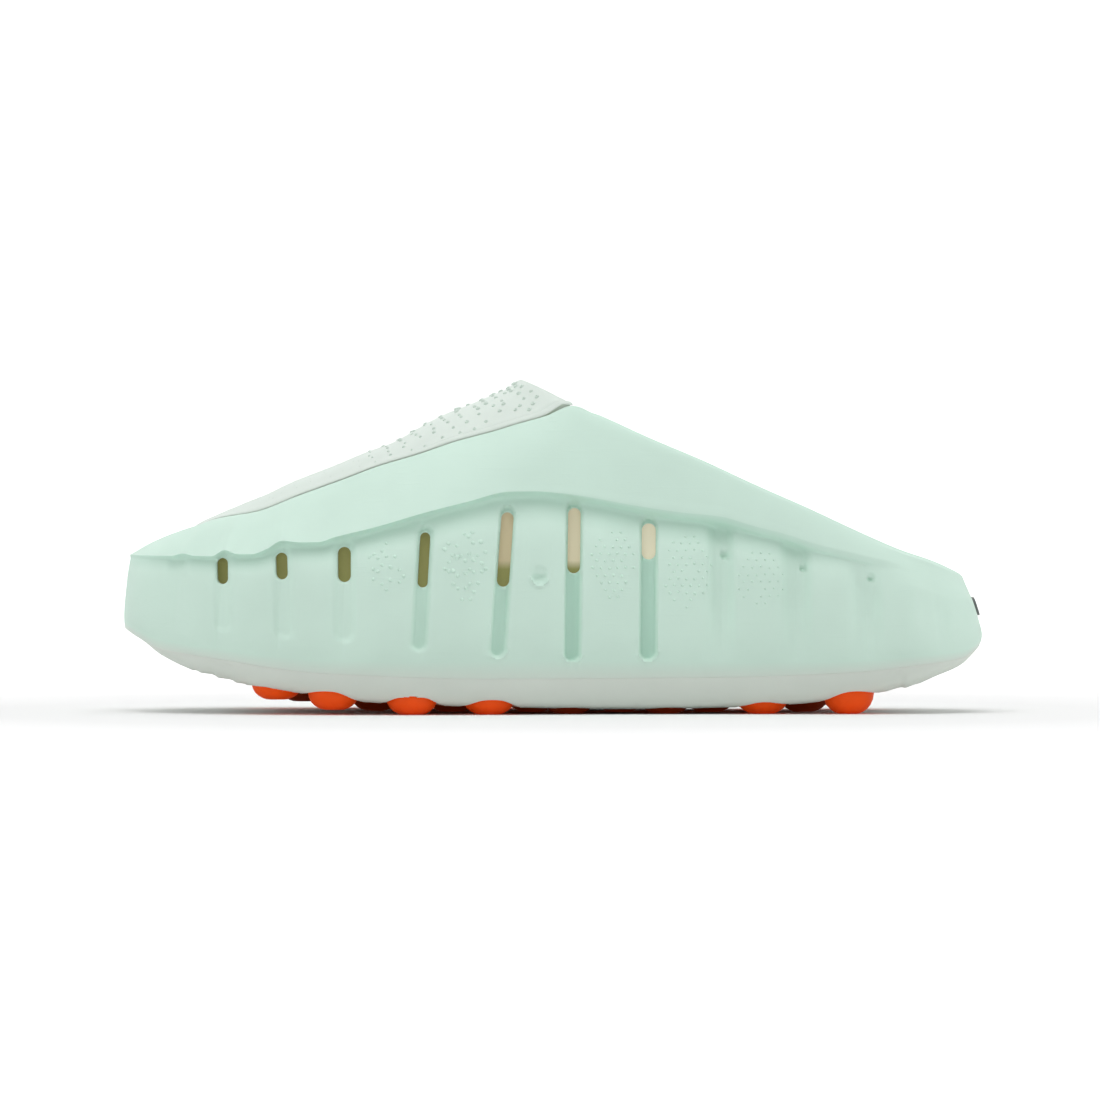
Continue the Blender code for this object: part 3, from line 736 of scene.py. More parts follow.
def relief_depth(points, out, share_up, places):
    """How deep the trenches and dimples go at each point of the outer wall, and the slotted ones alone.

    Trenches are upright in the side view, so distances across them are taken along the shoe
    and turned into distances along the wall.
    """
    depth = np.zeros(points.shape[:2])
    slotted = np.zeros(points.shape[:2])
    stations = points[:, :, 1] / LENGTH + 0.5
    heights = points[:, :, 2]
    facing = np.maximum(np.abs(out[:, 0]), LEAST_FACING)[:, None]
    at_heel = smoothstep((HEEL_FADE + HEEL_BLEND - places) / (1.5 * HEEL_BLEND))
    starts = LIP_START, LIP_START - HEEL_RUN_OUT * at_heel
    below_lip, under_lip = (1 - smoothstep((share_up - s) / (LIP_END - s)) for s in starts)
    for station, width, low, high, lean, half, deep, soft, foot in TRENCHES:
        middle = (low + high) / 2 * HEIGHT
        leant = math.tan(math.radians(lean)) * (heights - middle) if width else 0.0
        across = ((stations - station) * LENGTH + leant) / facing
        beyond = np.maximum(foot * HEIGHT + half - heights, 0.0)
        if width:
            beyond = np.maximum(beyond, heights - high * HEIGHT + half - SLOT_HEAD)
        away = np.hypot(across, beyond) - half
        fade = 1.0 if width else smoothstep((heights / HEIGHT - foot + FOOT_LOW) / FOOT_RISE)
        trench = deep * (1 - smoothstep(away / soft)) * under_lip * fade
        if width:
            ridge = np.exp(-((away - soft) / FOOT_RIDGE_WIDTH) ** 2) * (heights < foot * HEIGHT + half)
            depth -= FOOT_RIDGE * ridge * (deep > FOOT_RIDGE_FROM)
            slotted = np.maximum(slotted, trench)
        depth = np.where(trench > 0, np.maximum(depth, trench), depth)
    for station, up, radius, deep, groove_top in DIMPLES:
        across = (stations - station) * LENGTH / facing
        below = np.maximum(up * HEIGHT - heights, 0.0)
        above = np.maximum(heights - groove_top * HEIGHT, 0.0)
        away = np.sqrt(across**2 + below**2 + above**2) / radius
        rise = np.clip((heights - up * HEIGHT) / ((groove_top - up) * HEIGHT), 0, 1)
        bowl = np.clip(1 - away**2, 0, 1) ** BOWL_ROUNDING * deep * (1 - BOWL_FADE * rise)
        ridge = np.exp(-((away - 1.0) * radius / FOOT_RIDGE_WIDTH) ** 2) * (heights < up * HEIGHT)
        depth = depth + bowl * below_lip
        if DIMPLE_RIDGE_FROM < radius < DIMPLE_RIDGE_TO:
            depth -= DIMPLE_RIDGE * ridge
    return depth, slotted


def pill_points(width, height, arc_steps):
    radius = width / 2
    straight = height / 2 - radius
    points = []
    for centre, start in ((straight, 0.0), (-straight, math.pi)):
        for step in range(arc_steps + 1):
            angle = start + math.pi * step / arc_steps
            points.append((radius * math.cos(angle), centre + radius * math.sin(angle)))
    return points


def slots():
    """Centre, way outward in X, width, height and lean of every slot."""
    for side, out in (("outer", -1), ("inner", 1)):
        for trench in TRENCHES:
            station, width, low, high, lean = trench[:5]
            if width:
                middle = (low + high) / 2 * HEIGHT
                wall = wall_at_height(trench_turn(trench, side), 0.0, middle)
                centre = Vector((wall.x, (station - 0.5) * LENGTH, middle))
                yield centre, out, width * SLOT_WIDTH, (high - low) * HEIGHT, math.radians(lean)


def slot_prisms(material):
    """Pill-shaped prisms straight across the wall at every slot."""
    vertices, faces = [], []
    for centre, out, width, height, angle in slots():
        first = len(vertices)
        edge = pill_points(width, height, SLOT_ARC_STEPS)
        for reach in (SLOT_REACH_OUT, -SLOT_REACH_IN):
            for across, up in edge:
                turned = across * math.cos(angle) - up * math.sin(angle)
                raised = across * math.sin(angle) + up * math.cos(angle)
                vertices.append(centre + Vector((out * reach, turned, raised)))
        faces += grid_faces(2, len(edge), ring=True, first=first)
        faces.append(tuple(range(first, first + len(edge))))
        faces.append(tuple(range(first + len(edge), first + 2 * len(edge))))
    obj = mesh_object("slot_prisms", vertices, faces, material)
    close_up(obj)
    return obj


def round_slot_edges(mesh):
    """Rolls the wall's outer face into each slot over a small radius."""
    flat = np.empty(len(mesh.vertices) * 3, np.float32)
    mesh.vertices.foreach_get("co", flat)
    points = flat.reshape(-1, 3).astype(float)
    for centre, out, width, height, angle in slots():
        local = points - np.array(centre)
        across = local[:, 1] * math.cos(angle) + local[:, 2] * math.sin(angle)
        up = local[:, 2] * math.cos(angle) - local[:, 1] * math.sin(angle)
        beyond = np.abs(up) - (height - width) / 2
        away = np.hypot(across, np.maximum(beyond, 0.0)) - width / 2
        near = (np.abs(local[:, 0]) < SLOT_REACH_OUT) & (local[:, 0] * out > -SLOT_MIDDLE)
        near &= (away > -SLOT_EDGE) & (away < SLOT_ROUND)
        bend = np.clip(1 - np.maximum(away, 0.0) / SLOT_ROUND, 0, 1)
        roll = SLOT_ROUND * (1 - np.sqrt(1 - bend**2))
        points[near, 0] -= out * roll[near]
    mesh.vertices.foreach_set("co", points.astype(np.float32).ravel())
    mesh.update()


def soften_heel(turn, points):
    """Melts the brow's lip into the wall round the heel, where the photo shows no ledge."""
    station = station_of(outline(turn))
    share = setting_in(HEEL_FADE - station, 0.0, HEEL_BLEND)
    first, last = HEEL_MELTED
    for k in range(first + 1, last):
        straight = points[first].lerp(points[last], (k - first) / (last - first))
        points[k] = points[k].lerp(straight, share)
    return points


def fine_wall(turns, bulges):
    """The upper's fine sections with trenches and dimples pressed into the outer face."""
    sections = [soften_heel(t, upper_section(t, b)) for t, b in zip(turns, bulges)]
    fine = smooth_rows(sections, SECTION_STEPS)
    outer_count = sum(SECTION_STEPS[:len(WALL_LEVELS)]) + 1
    out = np.array([outward(turn) for turn in turns])
    low = np.array([seam_height(turn) for turn in turns])[:, None]
    high = np.array([ledge_height(turn) for turn in turns])[:, None]
    face = fine[:, :outer_count]
    stations = np.array([station_of(outline(turn)) for turn in turns])[:, None]
    groove = np.zeros(fine.shape[:2])
    rise = np.full(fine.shape[:2], MID_WALL)
    rise[:, :outer_count] = (face[:, :, 2] - low) / (high - low)
    depth, groove[:, :outer_count] = relief_depth(face, out, rise[:, :outer_count], stations)
    face[:, :, :2] -= depth[:, :, None] * out[:, None, :2]
    return fine, groove / GROOVE_FULL, rise


def make_upper(material):
    outer, inner = side_turns("outer"), side_turns("inner")
    turns = all_round(outer, inner)
    edges = {side: pod_edges(side) for side in ("outer", "inner")}
    bulges = [pod_bulge(t, edges["outer" if t < TOE_ROW else "inner"]) for t in turns]
    fine, groove, rise = fine_wall(turns, bulges)
    columns = fine.shape[1]
    faces = grid_faces(len(turns), columns, wrap=True, ring=True)
    obj = mesh_object("foam_upper", fine.reshape(-1, 3), faces, material)
    for name, values in (("groove", groove), ("rise", rise)):
        layer = obj.data.attributes.new(name, "FLOAT", "POINT")
        layer.data.foreach_set("value", values.astype(np.float32).ravel())
    flip_if_inward(obj)
    prisms = slot_prisms(material)
    modifier = obj.modifiers.new("slots", "BOOLEAN")
    modifier.operation = "DIFFERENCE"
    modifier.solver = "MANIFOLD"
    modifier.object = prisms
    bpy.context.view_layer.update()
    depsgraph = bpy.context.evaluated_depsgraph_get()
    cut = bpy.data.meshes.new_from_object(obj.evaluated_get(depsgraph))
    obj.modifiers.clear()
    obj.data = cut
    bpy.data.objects.remove(prisms, do_unlink=True)
    round_slot_edges(cut)
    cut.shade_smooth()
    cut.set_sharp_from_angle(angle=THIN_CREASE)
    return obj


def make_lining(material):
    """A thin textile sock against the upper's inner face, seen through the slots."""
    turns = [len(ROUND) * k / LINING_COLUMNS for k in range(LINING_COLUMNS)]
    rows = []
    for turn in turns:
        head = LINING_HEAD - LINING_DROP * collar_share(turn)
        points = [rim_inner(turn).lerp(inner_brow_point(turn, 0.5), head), inner_brow_point(turn, 0.5)]
        points += [inner_wall_point(turn, level) for level in INNER_LEVELS[:-1]]
        inward = -outward(turn)
        near = [p + inward * LINING_GAP for p in points]
        far = [p + inward * (LINING_GAP + LINING_THICKNESS) for p in points]
        rows.append(near + far[::-1])
    fine = smooth_rows(rows, LINING_STEPS)
    faces = grid_faces(len(turns), fine.shape[1], wrap=True, ring=True)
    obj = mesh_object("sock_lining", fine.reshape(-1, 3), faces, material)
    flip_if_inward(obj)
    return obj


def flip_if_inward(obj):
    """Turns a closed mesh's faces outward."""
    bm = bmesh.new()
    bm.from_mesh(obj.data)
    if bm.calc_volume(signed=True) < 0:
        bmesh.ops.reverse_faces(bm, faces=bm.faces)
    bm.to_mesh(obj.data)
    bm.free()


def stud_places():
    places = []
    for row, stations in STUDS:
        for number, station in enumerate(stations, 1):
            if row == "middle":
                left, right = (outline(turn_at(station, s)) for s in ("outer", "inner"))
                place = (left + right) / 2
            else:
                turn = turn_at(station, row)
                inset = along_table(STUD_INSET, station) * BALL_WIDTH
                place = outline(turn) - outward(turn) * inset
            share = station_of(place)
            foot = along_table(STUD_FOOT, share) * HEIGHT
            seat = along_table(SOLE_EDGE, share) * HEIGHT + STUD_SEAT
            places.append((f"stud_{row}_{number}", place, foot, seat))
    return places


def sole_section(turn):
    """Points from the seam's inner edge over the rim and down the side to the underside."""
    seam = seam_height(turn) - SEAM_GAP
    points = [inset_point(turn, WALL, seam), inset_point(turn, SOLE_CORNER, seam)]
    points.append(inset_point(turn, 0.0, seam - SOLE_CORNER))
    for inset, share in SOLE_SIDE:
        point = inset_point(turn, inset * SOLE_ROUND, 0.0)
        low = along_table(SOLE_EDGE, station_of(point)) * HEIGHT
        point.z = low + (seam - low) * share
        points.append(point)
    return points


def seat_rise(points):
    """Heights of the underside's points, lifted over each stud and softly round it."""
    heights = points[:, 2]
    rise = heights.copy()
    for _, place, _, seat in stud_places():
        away = np.hypot(points[:, 0] - place.x, points[:, 1] - place.y) - STUD_RADIUS - GAP
        scallop = seat - STUD_SEAT + SCALLOP_RISE
        share = 1 - smoothstep(away / SEAT_SOFTNESS)
        soft = heights + np.maximum(scallop - heights, 0.0) * share
        rise = np.maximum(rise, np.where(away < 0, np.maximum(soft, seat), soft))
    return rise


def tread_relief(points):
    """Low steps across the underside, a few at the toe and one at the heel."""
    along = points[:, 1]
    relief = np.zeros(len(points))
    for sign, start, fade_in, end, fade_out, pitch in TREADS:
        way = sign * along
        shown = smoothstep((way - start) / fade_in) * (1 - smoothstep((way - end) / fade_out))
        phase = along / pitch % 1.0
        relief += shown * np.clip(phase * TREAD_FRONT, 0, 1) * np.clip((1 - phase) * TREAD_BACK, 0, 1)
    return TREAD_RISE * relief


def make_sole(material):
    count = SOLE_COLUMNS
    outer = [TOE_ROW * k / count for k in range(count)]
    inner = [len(ROUND) - (len(ROUND) - TOE_ROW) * k / count for k in range(count)]
    turns = all_round(outer, inner)
    sections = np.array([[tuple(p) for p in sole_section(t)] for t in turns])
    fine = smooth_rows(sections, SOLE_STEPS)
    columns = fine.shape[1]
    vertices = list(fine.reshape(-1, 3))
    faces = grid_faces(len(turns), columns, wrap=True)
    for offset, steps in ((columns - 1, UNDER_COLUMNS), (0, 2)):
        border = fine[:, offset]
        index = [r * columns + offset for r in range(len(turns))]
        rows = [[index[0]] * (steps + 1)]
        for k in range(1, len(outer)):
            first = len(vertices)
            for c in range(1, steps):
                vertices.append(border[k] * (1 - c / steps) + border[-k] * (c / steps))
            rows.append([index[k], *range(first, len(vertices)), index[-k]])
        rows.append([index[len(outer)]] * (steps + 1))
        for low, high in zip(rows, rows[1:]):
            for c in range(steps):
                face = tuple(dict.fromkeys((low[c], low[c + 1], high[c + 1], high[c])))
                faces.append(face if offset else face[::-1])
    vertices = np.array(vertices)
    lifted = seat_rise(vertices)
    relief = tread_relief(vertices)
    under = vertices[:, 2] < np.interp(
        vertices[:, 1] / LENGTH + 0.5, [r[0] for r in SEAM], [r[1] * HEIGHT - UNDER_MARGIN for r in SEAM]
    )
    vertices[:, 2] = np.where(under, lifted + relief * (lifted < vertices[:, 2] + 1e-5), vertices[:, 2])
    obj = mesh_object("foam_sole", vertices, faces, material)
    flip_if_inward(obj)
    obj.data.set_sharp_from_angle(angle=BLOCK_CREASE)
    return obj


def closed_sheet(name, rows, material, crease):
    """A sheet of some thickness from rows that run along its top and back along its bottom."""
    columns = len(rows[0])
    faces = grid_faces(len(rows), columns, ring=True)
    for base, step in ((0, -1), ((len(rows) - 1) * columns, 1)):
        for c in range(columns // 2 - 1):
            faces.append((base + c, base + c + 1, base + columns - 2 - c, base + columns - 1 - c)[::step])
    obj = mesh_object(name, [v for row in rows for v in row], faces, material)
    flip_if_inward(obj)
    obj.data.set_sharp_from_angle(angle=crease)
    return obj


def tongue_point(way, across):
    """A point on the tongue's upper face without its hem, and the width there."""
    outer = rim(TOE_ROW + (THROAT_ROW - TOE_ROW) * way)
    inner = rim(TOE_ROW + (len(ROUND) - THROAT_ROW - TOE_ROW) * way)
    width = max((inner - outer).length, 1e-5)
    draw = min(MOST_DRAWN, HEM_GAP / width)
    place = outer.lerp(inner, draw + (1 - 2 * draw) * across)
    arch = 1 - (2 * across - 1) ** 2
    place.y += THROAT_SCOOP * arch * way**3
    place.z += along_table(TONGUE_CROWN, way) * TONGUE_RISE * arch**ARCH_ROUNDING - TONGUE_DROP
    return place, width


def make_tongue(material):
    """The tongue's sheet, whose hem stands a little proud of the rim over an undercut."""
    rows = []
    for k in range(TONGUE_ROWS + 1):
        way = TONGUE_TIP + (1 - TONGUE_TIP) * k / TONGUE_ROWS
        line_share = setting_in(way, *LINE_FROM)
        hem_share = setting_in(way, *HEM_FROM)
        lift = TONGUE_LIFT * setting_in(way, *LIFT_FROM) * (1 - setting_in(way, *LIFT_TO))
        top, bottom = [], []
        for c in range(TONGUE_COLUMNS + 1):
            across = 0.5 - 0.5 * math.cos(math.pi * c / TONGUE_COLUMNS)
            place, width = tongue_point(way, across)
            inward = min(across, 1 - across) * width
            hem = HEM_RISE * setting_in(HEM_WIDTH - inward, 0.0, HEM_SOFT)
            groove = HEM_GROOVE * math.exp(-(((inward - HEM_WIDTH) / HEM_GROOVE_WIDTH) ** 2))
            hem = hem_share * (hem - groove)
            proud = HEM_PROUD * line_share * max(0.0, 1 - inward / PROUD_REACH) ** 2
            raised = lift * max(0.0, 1 - inward / LIFT_REACH) ** 2
            edge = 1 - min(1.0, inward / EDGE_REACH)
            z = place.z + hem + proud + raised - HEM_RISE * edge**2
            body = setting_in(inward, 0.0, BODY_REACH)
            thick = HEM_THICKNESS + (TONGUE_THICKNESS - HEM_THICKNESS) * body
            skirt = setting_in(inward, *SKIRT_FROM) * (1 - setting_in(inward, *SKIRT_TO))
            thick += SKIRT_DEPTH * line_share * skirt
            top.append((place.x, place.y, z))
            bottom.append((place.x, place.y, z - hem - thick + 2 * HEM_RISE * edge**2))
        rows.append(top + bottom[::-1])
    return closed_sheet("foam_tongue", rows, material, THIN_CREASE)


def surface_frame(corner, ahead, aside):
    """Directions along, aside and up from a surface at three of its points."""
    along = (ahead - corner).normalized()
    normal = along.cross(aside - corner).normalized()
    if normal.z < 0:
        normal = -normal
    return along, normal.cross(along), normal


def add_bump(vertices, faces, centre, axes, rings, sides=10):
    """A small round raised form from rings of radius and height."""
    first = len(vertices)
    along, aside, normal = axes
    for radius, height in rings[:-1]:
        for k in range(sides):
            angle = 2 * math.pi * k / sides
            ring = along * math.cos(angle) + aside * math.sin(angle)
            vertices.append(tuple(centre + ring * radius + normal * height))
    vertices.append(tuple(centre + normal * rings[-1][1]))
    tip = len(vertices) - 1
    faces += grid_faces(len(rings) - 1, sides, ring=True, first=first)
    last = tip - sides
    for k in range(sides):
        faces.append((last + k, last + (k + 1) % sides, tip))
    faces.append(tuple(first + k for k in reversed(range(sides))))


def make_tongue_dots(material):
    """Raised craters over the tongue, large near the throat and finer further forward."""
    vertices, faces = [], []
    dice = random.Random(3)
    rows = int(TONGUE_DOT_RUN * LENGTH / (TONGUE_DOT_PITCH * ROW_SHARE))
    for r in range(rows):
        way = TONGUE_DOTS_FROM + TONGUE_DOTS_WAY * r / rows
        _, width = tongue_point(way, 0.5)
        count = int(width / TONGUE_DOT_PITCH)
        for c in range(count + 1):
            shift = (DOT_STAGGER if r % 2 else -DOT_STAGGER) + dice.uniform(-DOT_SCATTER, DOT_SCATTER)
            across = 0.5 + (c - count / 2 + shift) * TONGUE_DOT_PITCH / width
            if not DOT_MARGIN / width < across < 1 - DOT_MARGIN / width:
                continue
            if dice.random() < TONGUE_DOTS_MISSING:
                continue
            spot = way + dice.uniform(*DOT_SLIP)
            centre, _ = tongue_point(spot, across)
            ahead, _ = tongue_point(spot + SURFACE_STEP, across)
            aside, _ = tongue_point(spot, across + SURFACE_STEP)
            size = DOT_LEAST + DOT_GROWTH * setting_in(way, *DOT_GROWS_FROM)
            size *= dice.uniform(*DOT_SPREAD)
            form = CRATER if way > CRATERS_FROM else PIMPLE
            rings = [(radius * size, rise * size) for radius, rise in form]
            add_bump(vertices, faces, centre, surface_frame(centre, ahead, aside), rings)
    return mesh_object("tongue_dots", vertices, faces, material)


def dot_columns(zone, side):
    """The fine wall under one zone of dots, a section for each column of dots."""
    start, end = zone[:2]
    count = int((end - start) * LENGTH / (POD_DOT_PITCH * 0.5))
    edges = pod_edges(side)
    shift = station_of(outline(edges[6])) - TRENCHES[5][0]
    turns = [turn_at(start + shift + (end - start) * c / count, side) for c in range(count + 1)]
    outer_count = sum(SECTION_STEPS[:len(WALL_LEVELS) - 1]) + 1
    return fine_wall(turns, [pod_bulge(t, edges) for t in turns])[0][:, :outer_count], turns


def at_height(section, height):
    """A point of a fine upright section at a height."""
    return Vector([*(np.interp(height, section[:, 2], section[:, axis]) for axis in (0, 1)), height])


def make_pod_dots(material):
    vertices, faces = [], []
    dice = random.Random(7)
    rings = [(radius * POD_DOT_RADIUS, rise * POD_DOT_HEIGHT) for radius, rise in PIMPLE]
    for side in ("outer", "inner"):
        for zone in DOT_ZONES:
            sections, turns = dot_columns(zone, side)
            low, high, scatter, size = zone[2:]
            rows = int((high - low) * HEIGHT / (POD_DOT_PITCH * POD_ROW_SHARE))
            for c, (section, turn) in enumerate(zip(sections, turns)):
                for r in range(c % 2, rows + 1, 2):
                    round_share = (2 * c / (len(turns) - 1) - 1) ** 2 + (2 * r / rows - 1) ** 2
                    if round_share > POD_ZONE_END or dice.random() < POD_DOTS_MISSING:
                        continue
                    height = (low + (high - low) * r / rows) * HEIGHT
                    height += dice.uniform(-scatter, scatter) * POD_DOT_PITCH
                    centre = at_height(section, height)
                    along = (at_height(section, height + POD_DOT_STEP) - centre).normalized()
                    out = outward(turn)
                    normal = (out - along * out.dot(along)).normalized()
                    grown = size * dice.uniform(*POD_DOT_SPREAD)
                    scaled = [(radius * grown, rise) for radius, rise in rings]
                    add_bump(vertices, faces, centre, (along, normal.cross(along), normal), scaled, 8)
    return mesh_object("pod_dots", vertices, faces, material)


def make_studs(bright, shaded):
    """Studs of bright rubber; those far under the sole take a darker copy of it with their shade painted
    in.
    """
    studs = []
    for name, place, foot, seat in stud_places():
        top = seat - GAP
        rings = [(r * STUD_RADIUS, foot + h * (top - foot)) for h, r in STUD_RINGS]
        rings.append((0.0, top))
        vertices, faces = [], []
        add_bump(vertices, faces, place, UPRIGHT, rings, STUD_SIDES)
        under_waist = SHADED_FROM < station_of(place) < SHADED_TO
        # the middle row and the studs under the waist take the painted-shade copy of the rubber
        material = shaded if "middle" in name or under_waist else bright
        obj = mesh_object("smooth_" + name, vertices, faces, material)
        close_up(obj)
        obj.data.set_sharp_from_angle(angle=BLOCK_CREASE)
        studs.append((obj, name))
    return studs


def make_insole(material):
    rows = []
    for k in range(INSOLE_ROWS + 1):
        way = INSOLE_END + (1 - 2 * INSOLE_END) * k / INSOLE_ROWS
        share = 0.5 - 0.5 * math.cos(math.pi * way)
        ends = []
        for side in ("outer", "inner"):
            turn = turn_at(share, side)
            plateau = at_turn(PLATEAU, turn) * HEIGHT
            low, high = seam_height(turn), ledge_height(turn)
            leant = lean_at(turn) * ((plateau - low) / (high - low) + INSOLE_DRAW)
            inset = WALL + 4 * GAP + leant
            ends.append(inset_point(turn, inset, plateau + GAP))
        top = []
        for c in range(INSOLE_COLUMNS + 1):
            t = c / INSOLE_COLUMNS
            place = ends[0].lerp(ends[1], t)
            edge = min(t, 1 - t) * (ends[1] - ends[0]).length
            soft = INSOLE_SOFT_EDGE * (1 - min(1.0, edge / INSOLE_EDGE_REACH)) ** 2
            dish = INSOLE_DISH * (1 - (2 * t - 1) ** 2)
            top.append((place.x, place.y, place.z + INSOLE_THICKNESS - soft - dish))
        rows.append(top + [(x, y, z - INSOLE_THICKNESS + INSOLE_SOFT_EDGE) for x, y, z in top[::-1]])
    return closed_sheet("foam_insole", rows, material, BLOCK_CREASE)


def make_badge(material):
    """A plain pill with a soft edge on the heel's curve."""
    outer, inner = pod_edges("outer"), pod_edges("inner")
    vertices = []
    edge = pill_points(BADGE_HEIGHT, BADGE_WIDTH, BADGE_ARC_STEPS)
    for share, rise in BADGE_RINGS:
        for up, across in edge:
            turn = turn_step(0.0, -across * share)
            edges = outer if turn >= 0 else inner
            place = turn if turn >= 0 else turn + len(ROUND)
            base = wall_at_height(place, pod_bulge(place, edges), BADGE_CENTRE + up * share)
            vertices.append(tuple(base + outward(place) * rise))
    faces = grid_faces(len(BADGE_RINGS), len(edge), ring=True)
    obj = mesh_object("plain_badge", vertices, faces, material)
    close_up(obj)
    return obj


def close_up(obj):
    """Merges points that lie together and turns the faces outward."""
    bm = bmesh.new()
    bm.from_mesh(obj.data)
    bmesh.ops.remove_doubles(bm, verts=bm.verts, dist=1e-6)
    bmesh.ops.recalc_face_normals(bm, faces=bm.faces)
    bm.to_mesh(obj.data)
    bm.free()


class Nodes:
    """A material's node tree with short calls for the nodes used here."""

    def __init__(self, name, roughness):
        self.material = bpy.data.materials.new(name)
        self.material.use_nodes = True
        self.tree = self.material.node_tree
        self.shader = self.tree.nodes["Principled BSDF"]
        self.shader.inputs["Roughness"].default_value = roughness
        self.place = self.add("TexCoord", "Object", {})

    def feed(self, socket, value):
        """Links a node's output to a socket, or sets the socket's own value."""
        if isinstance(value, bpy.types.NodeSocket):
            self.tree.links.new(value, socket)
        else:
            socket.default_value = value

    def add(self, kind, output, inputs, **settings):
        node = self.tree.nodes.new("ShaderNode" + kind)
        for name, value in settings.items():
            setattr(node, name, value)
        for name, value in inputs.items():
            self.feed(node.inputs[name], value)
        return node.outputs[output]

    def noise(self, scale, detail=3.0, stretch=(1, 1, 1)):
        place = self.add("Mapping", "Vector", {"Vector": self.place, "Scale": stretch})
        return self.add("TexNoise", "Fac", {"Vector": place, "Scale": scale, "Detail": detail})

    def range(self, value, low, high, to_low, to_high):
        limits = {"From Min": low, "From Max": high, "To Min": to_low, "To Max": to_high}
        return self.add("MapRange", "Result", {"Value": value, **limits})

    def mix(self, factor, *colours):
        first, second = ((*c, 1.0) if isinstance(c, tuple) else c for c in colours)
        return self.add("Mix", "Result", {"Factor": factor, "A": first, "B": second}, data_type="RGBA")

    def mottle(self, scale, colour, low, high, detail=2.0):
        return self.mix(self.noise(scale, detail), tinted(colour, low), tinted(colour, high))

    def bump(self, height, distance, strength, **after):
        values = {"Distance": distance, "Strength": strength, "Height": height, **after}
        return self.add("Bump", "Normal", values)

    def grain(self, scale, distance, strength):
        return self.bump(self.noise(scale, 2.0), distance, strength)

    def attribute(self, name):
        return self.add("Attribute", "Fac", {}, attribute_name=name)

    def axis(self, name):
        return self.add("SeparateXYZ", name, {"Vector": self.place})

    def glow(self, colour, strength):
        self.feed(self.shader.inputs["Emission Color"], colour)
        self.feed(self.shader.inputs["Emission Strength"], strength)

    def finish(self, colour, normal, roughness=None):
        self.feed(self.shader.inputs["Base Color"], colour)
        self.feed(self.shader.inputs["Normal"], normal)
        if roughness is not None:
            self.feed(self.shader.inputs["Roughness"], roughness)
        return self.material


def tinted(colour, factor):
    return tuple(min(1.0, c * factor) for c in colour)


def foam_material(name, colour, roughness, scratches_and_painted_shade):
    """Moulded foam: slow changes of tone, fine pores and, on the wall, faint level scratches, painted
    shade in the slotted grooves and under the brow, and the sole's pale tone at the seam.
    """
    nodes = Nodes(name, roughness)
    slow = nodes.noise(38, 2.0)
    tone = nodes.mix(nodes.range(slow, 0.3, 0.7, 0.0, 1.0), tinted(colour, 0.975), tinted(colour, 1.02))
    if scratches_and_painted_shade:
        groove, rise = nodes.attribute("groove"), nodes.attribute("rise")
        # painted shade: darker mint in the slotted grooves
        tone = nodes.mix(nodes.range(groove, *GROOVE_PAINTED_SHADE), tone, MINT_PAINTED_SHADE)
        tone = nodes.mix(nodes.range(rise, *SEAM_TONE), tone, SOLE_PALE)
        # painted shade under the brow's lip, faded out round the heel
        shaded = nodes.mix(nodes.range(nodes.axis("Y"), *BROW_SHADE_Y, 0.0, 1.0), tone, MINT_PAINTED_SHADE)
        tone = nodes.mix(nodes.range(rise, *BROW_SHADE_RISE, 0.0, BROW_SHADE), tone, shaded)
    normal = nodes.grain(1900, 0.00006, 0.35)
    if scratches_and_painted_shade:
        scratch = nodes.noise(420, 4.0, stretch=(1.0, 0.10, 2.2))
        lines = nodes.range(scratch, 0.55, 0.75, 0.0, 1.0)
        normal = nodes.bump(lines, 0.00010, 0.30, Normal=normal)
    rough = nodes.range(nodes.noise(160, 3.0), 0.3, 0.7, roughness - 0.05, roughness + 0.06)
    return nodes.finish(tone, normal, rough)


def lining_material():
    """The inside of the shell: cream to peach above where lit, olive painted shade low down and in the
    toe, and a painted glow of light.
    """
    nodes = Nodes("lining", 0.75)
    above = nodes.range(nodes.axis("Z"), *LINING_LIT_Z, 0.0, 1.0)
    behind = nodes.range(nodes.axis("Y"), *LINING_LIT_Y, 0.0, 1.0)
    pale = nodes.mix(nodes.range(nodes.axis("Y"), *LINING_PEACH_Y, 0.0, 1.0), CREAM, PEACH)
    # olive painted shade low down and toward the toe, the pale lit tone above and behind
    colour = nodes.mix(above, OLIVE_PAINTED_SHADE, nodes.mix(behind, OLIVE_PAINTED_SHADE, pale))
    # painted light: the lining glows
    nodes.glow(colour, LINING_PAINTED_LIGHT)
    return nodes.finish(colour, nodes.grain(1500, 0.0001, 0.5))


def insole_material():
    nodes = Nodes("insole_sheet", 0.85)
    return nodes.finish(nodes.mottle(60, PEACH, 0.9, 1.02, 3.0), nodes.grain(1300, 0.00015, 0.6))


def stud_material(name, tone):
    nodes = Nodes(name, 0.42)
    colour = nodes.mottle(90, ORANGE, 0.88 * tone, 1.05 * tone)
    rough = nodes.range(nodes.noise(240, 3.0), 0.3, 0.7, 0.42, 0.56)
    nodes.shader.inputs["Specular IOR Level"].default_value = 0.20
    # painted light: the rubber glows a little
    nodes.glow(colour, STUD_PAINTED_LIGHT)
    return nodes.finish(colour, nodes.grain(1100, 0.00005, 0.4), rough)


def badge_material():
    nodes = Nodes("badge_fine", 0.38)
    return nodes.finish(nodes.mottle(300, BADGE_GREY, 1.0, 1.25), nodes.grain(2500, 0.00004, 0.4))


def make_camera():
    data = bpy.data.cameras.new("camera")
    data.sensor_width = SENSOR
    data.lens = SENSOR * CAMERA_DISTANCE / PICTURE_WIDTH
    data.clip_start = 0.1
    data.clip_end = 20.0
    camera = in_scene("camera", data)
    camera.location = (-CAMERA_DISTANCE, CAMERA_ALONG, CAMERA_HEIGHT)
    camera.rotation_euler = (math.radians(90), 0.0, math.radians(-90))
    bpy.context.scene.camera = camera


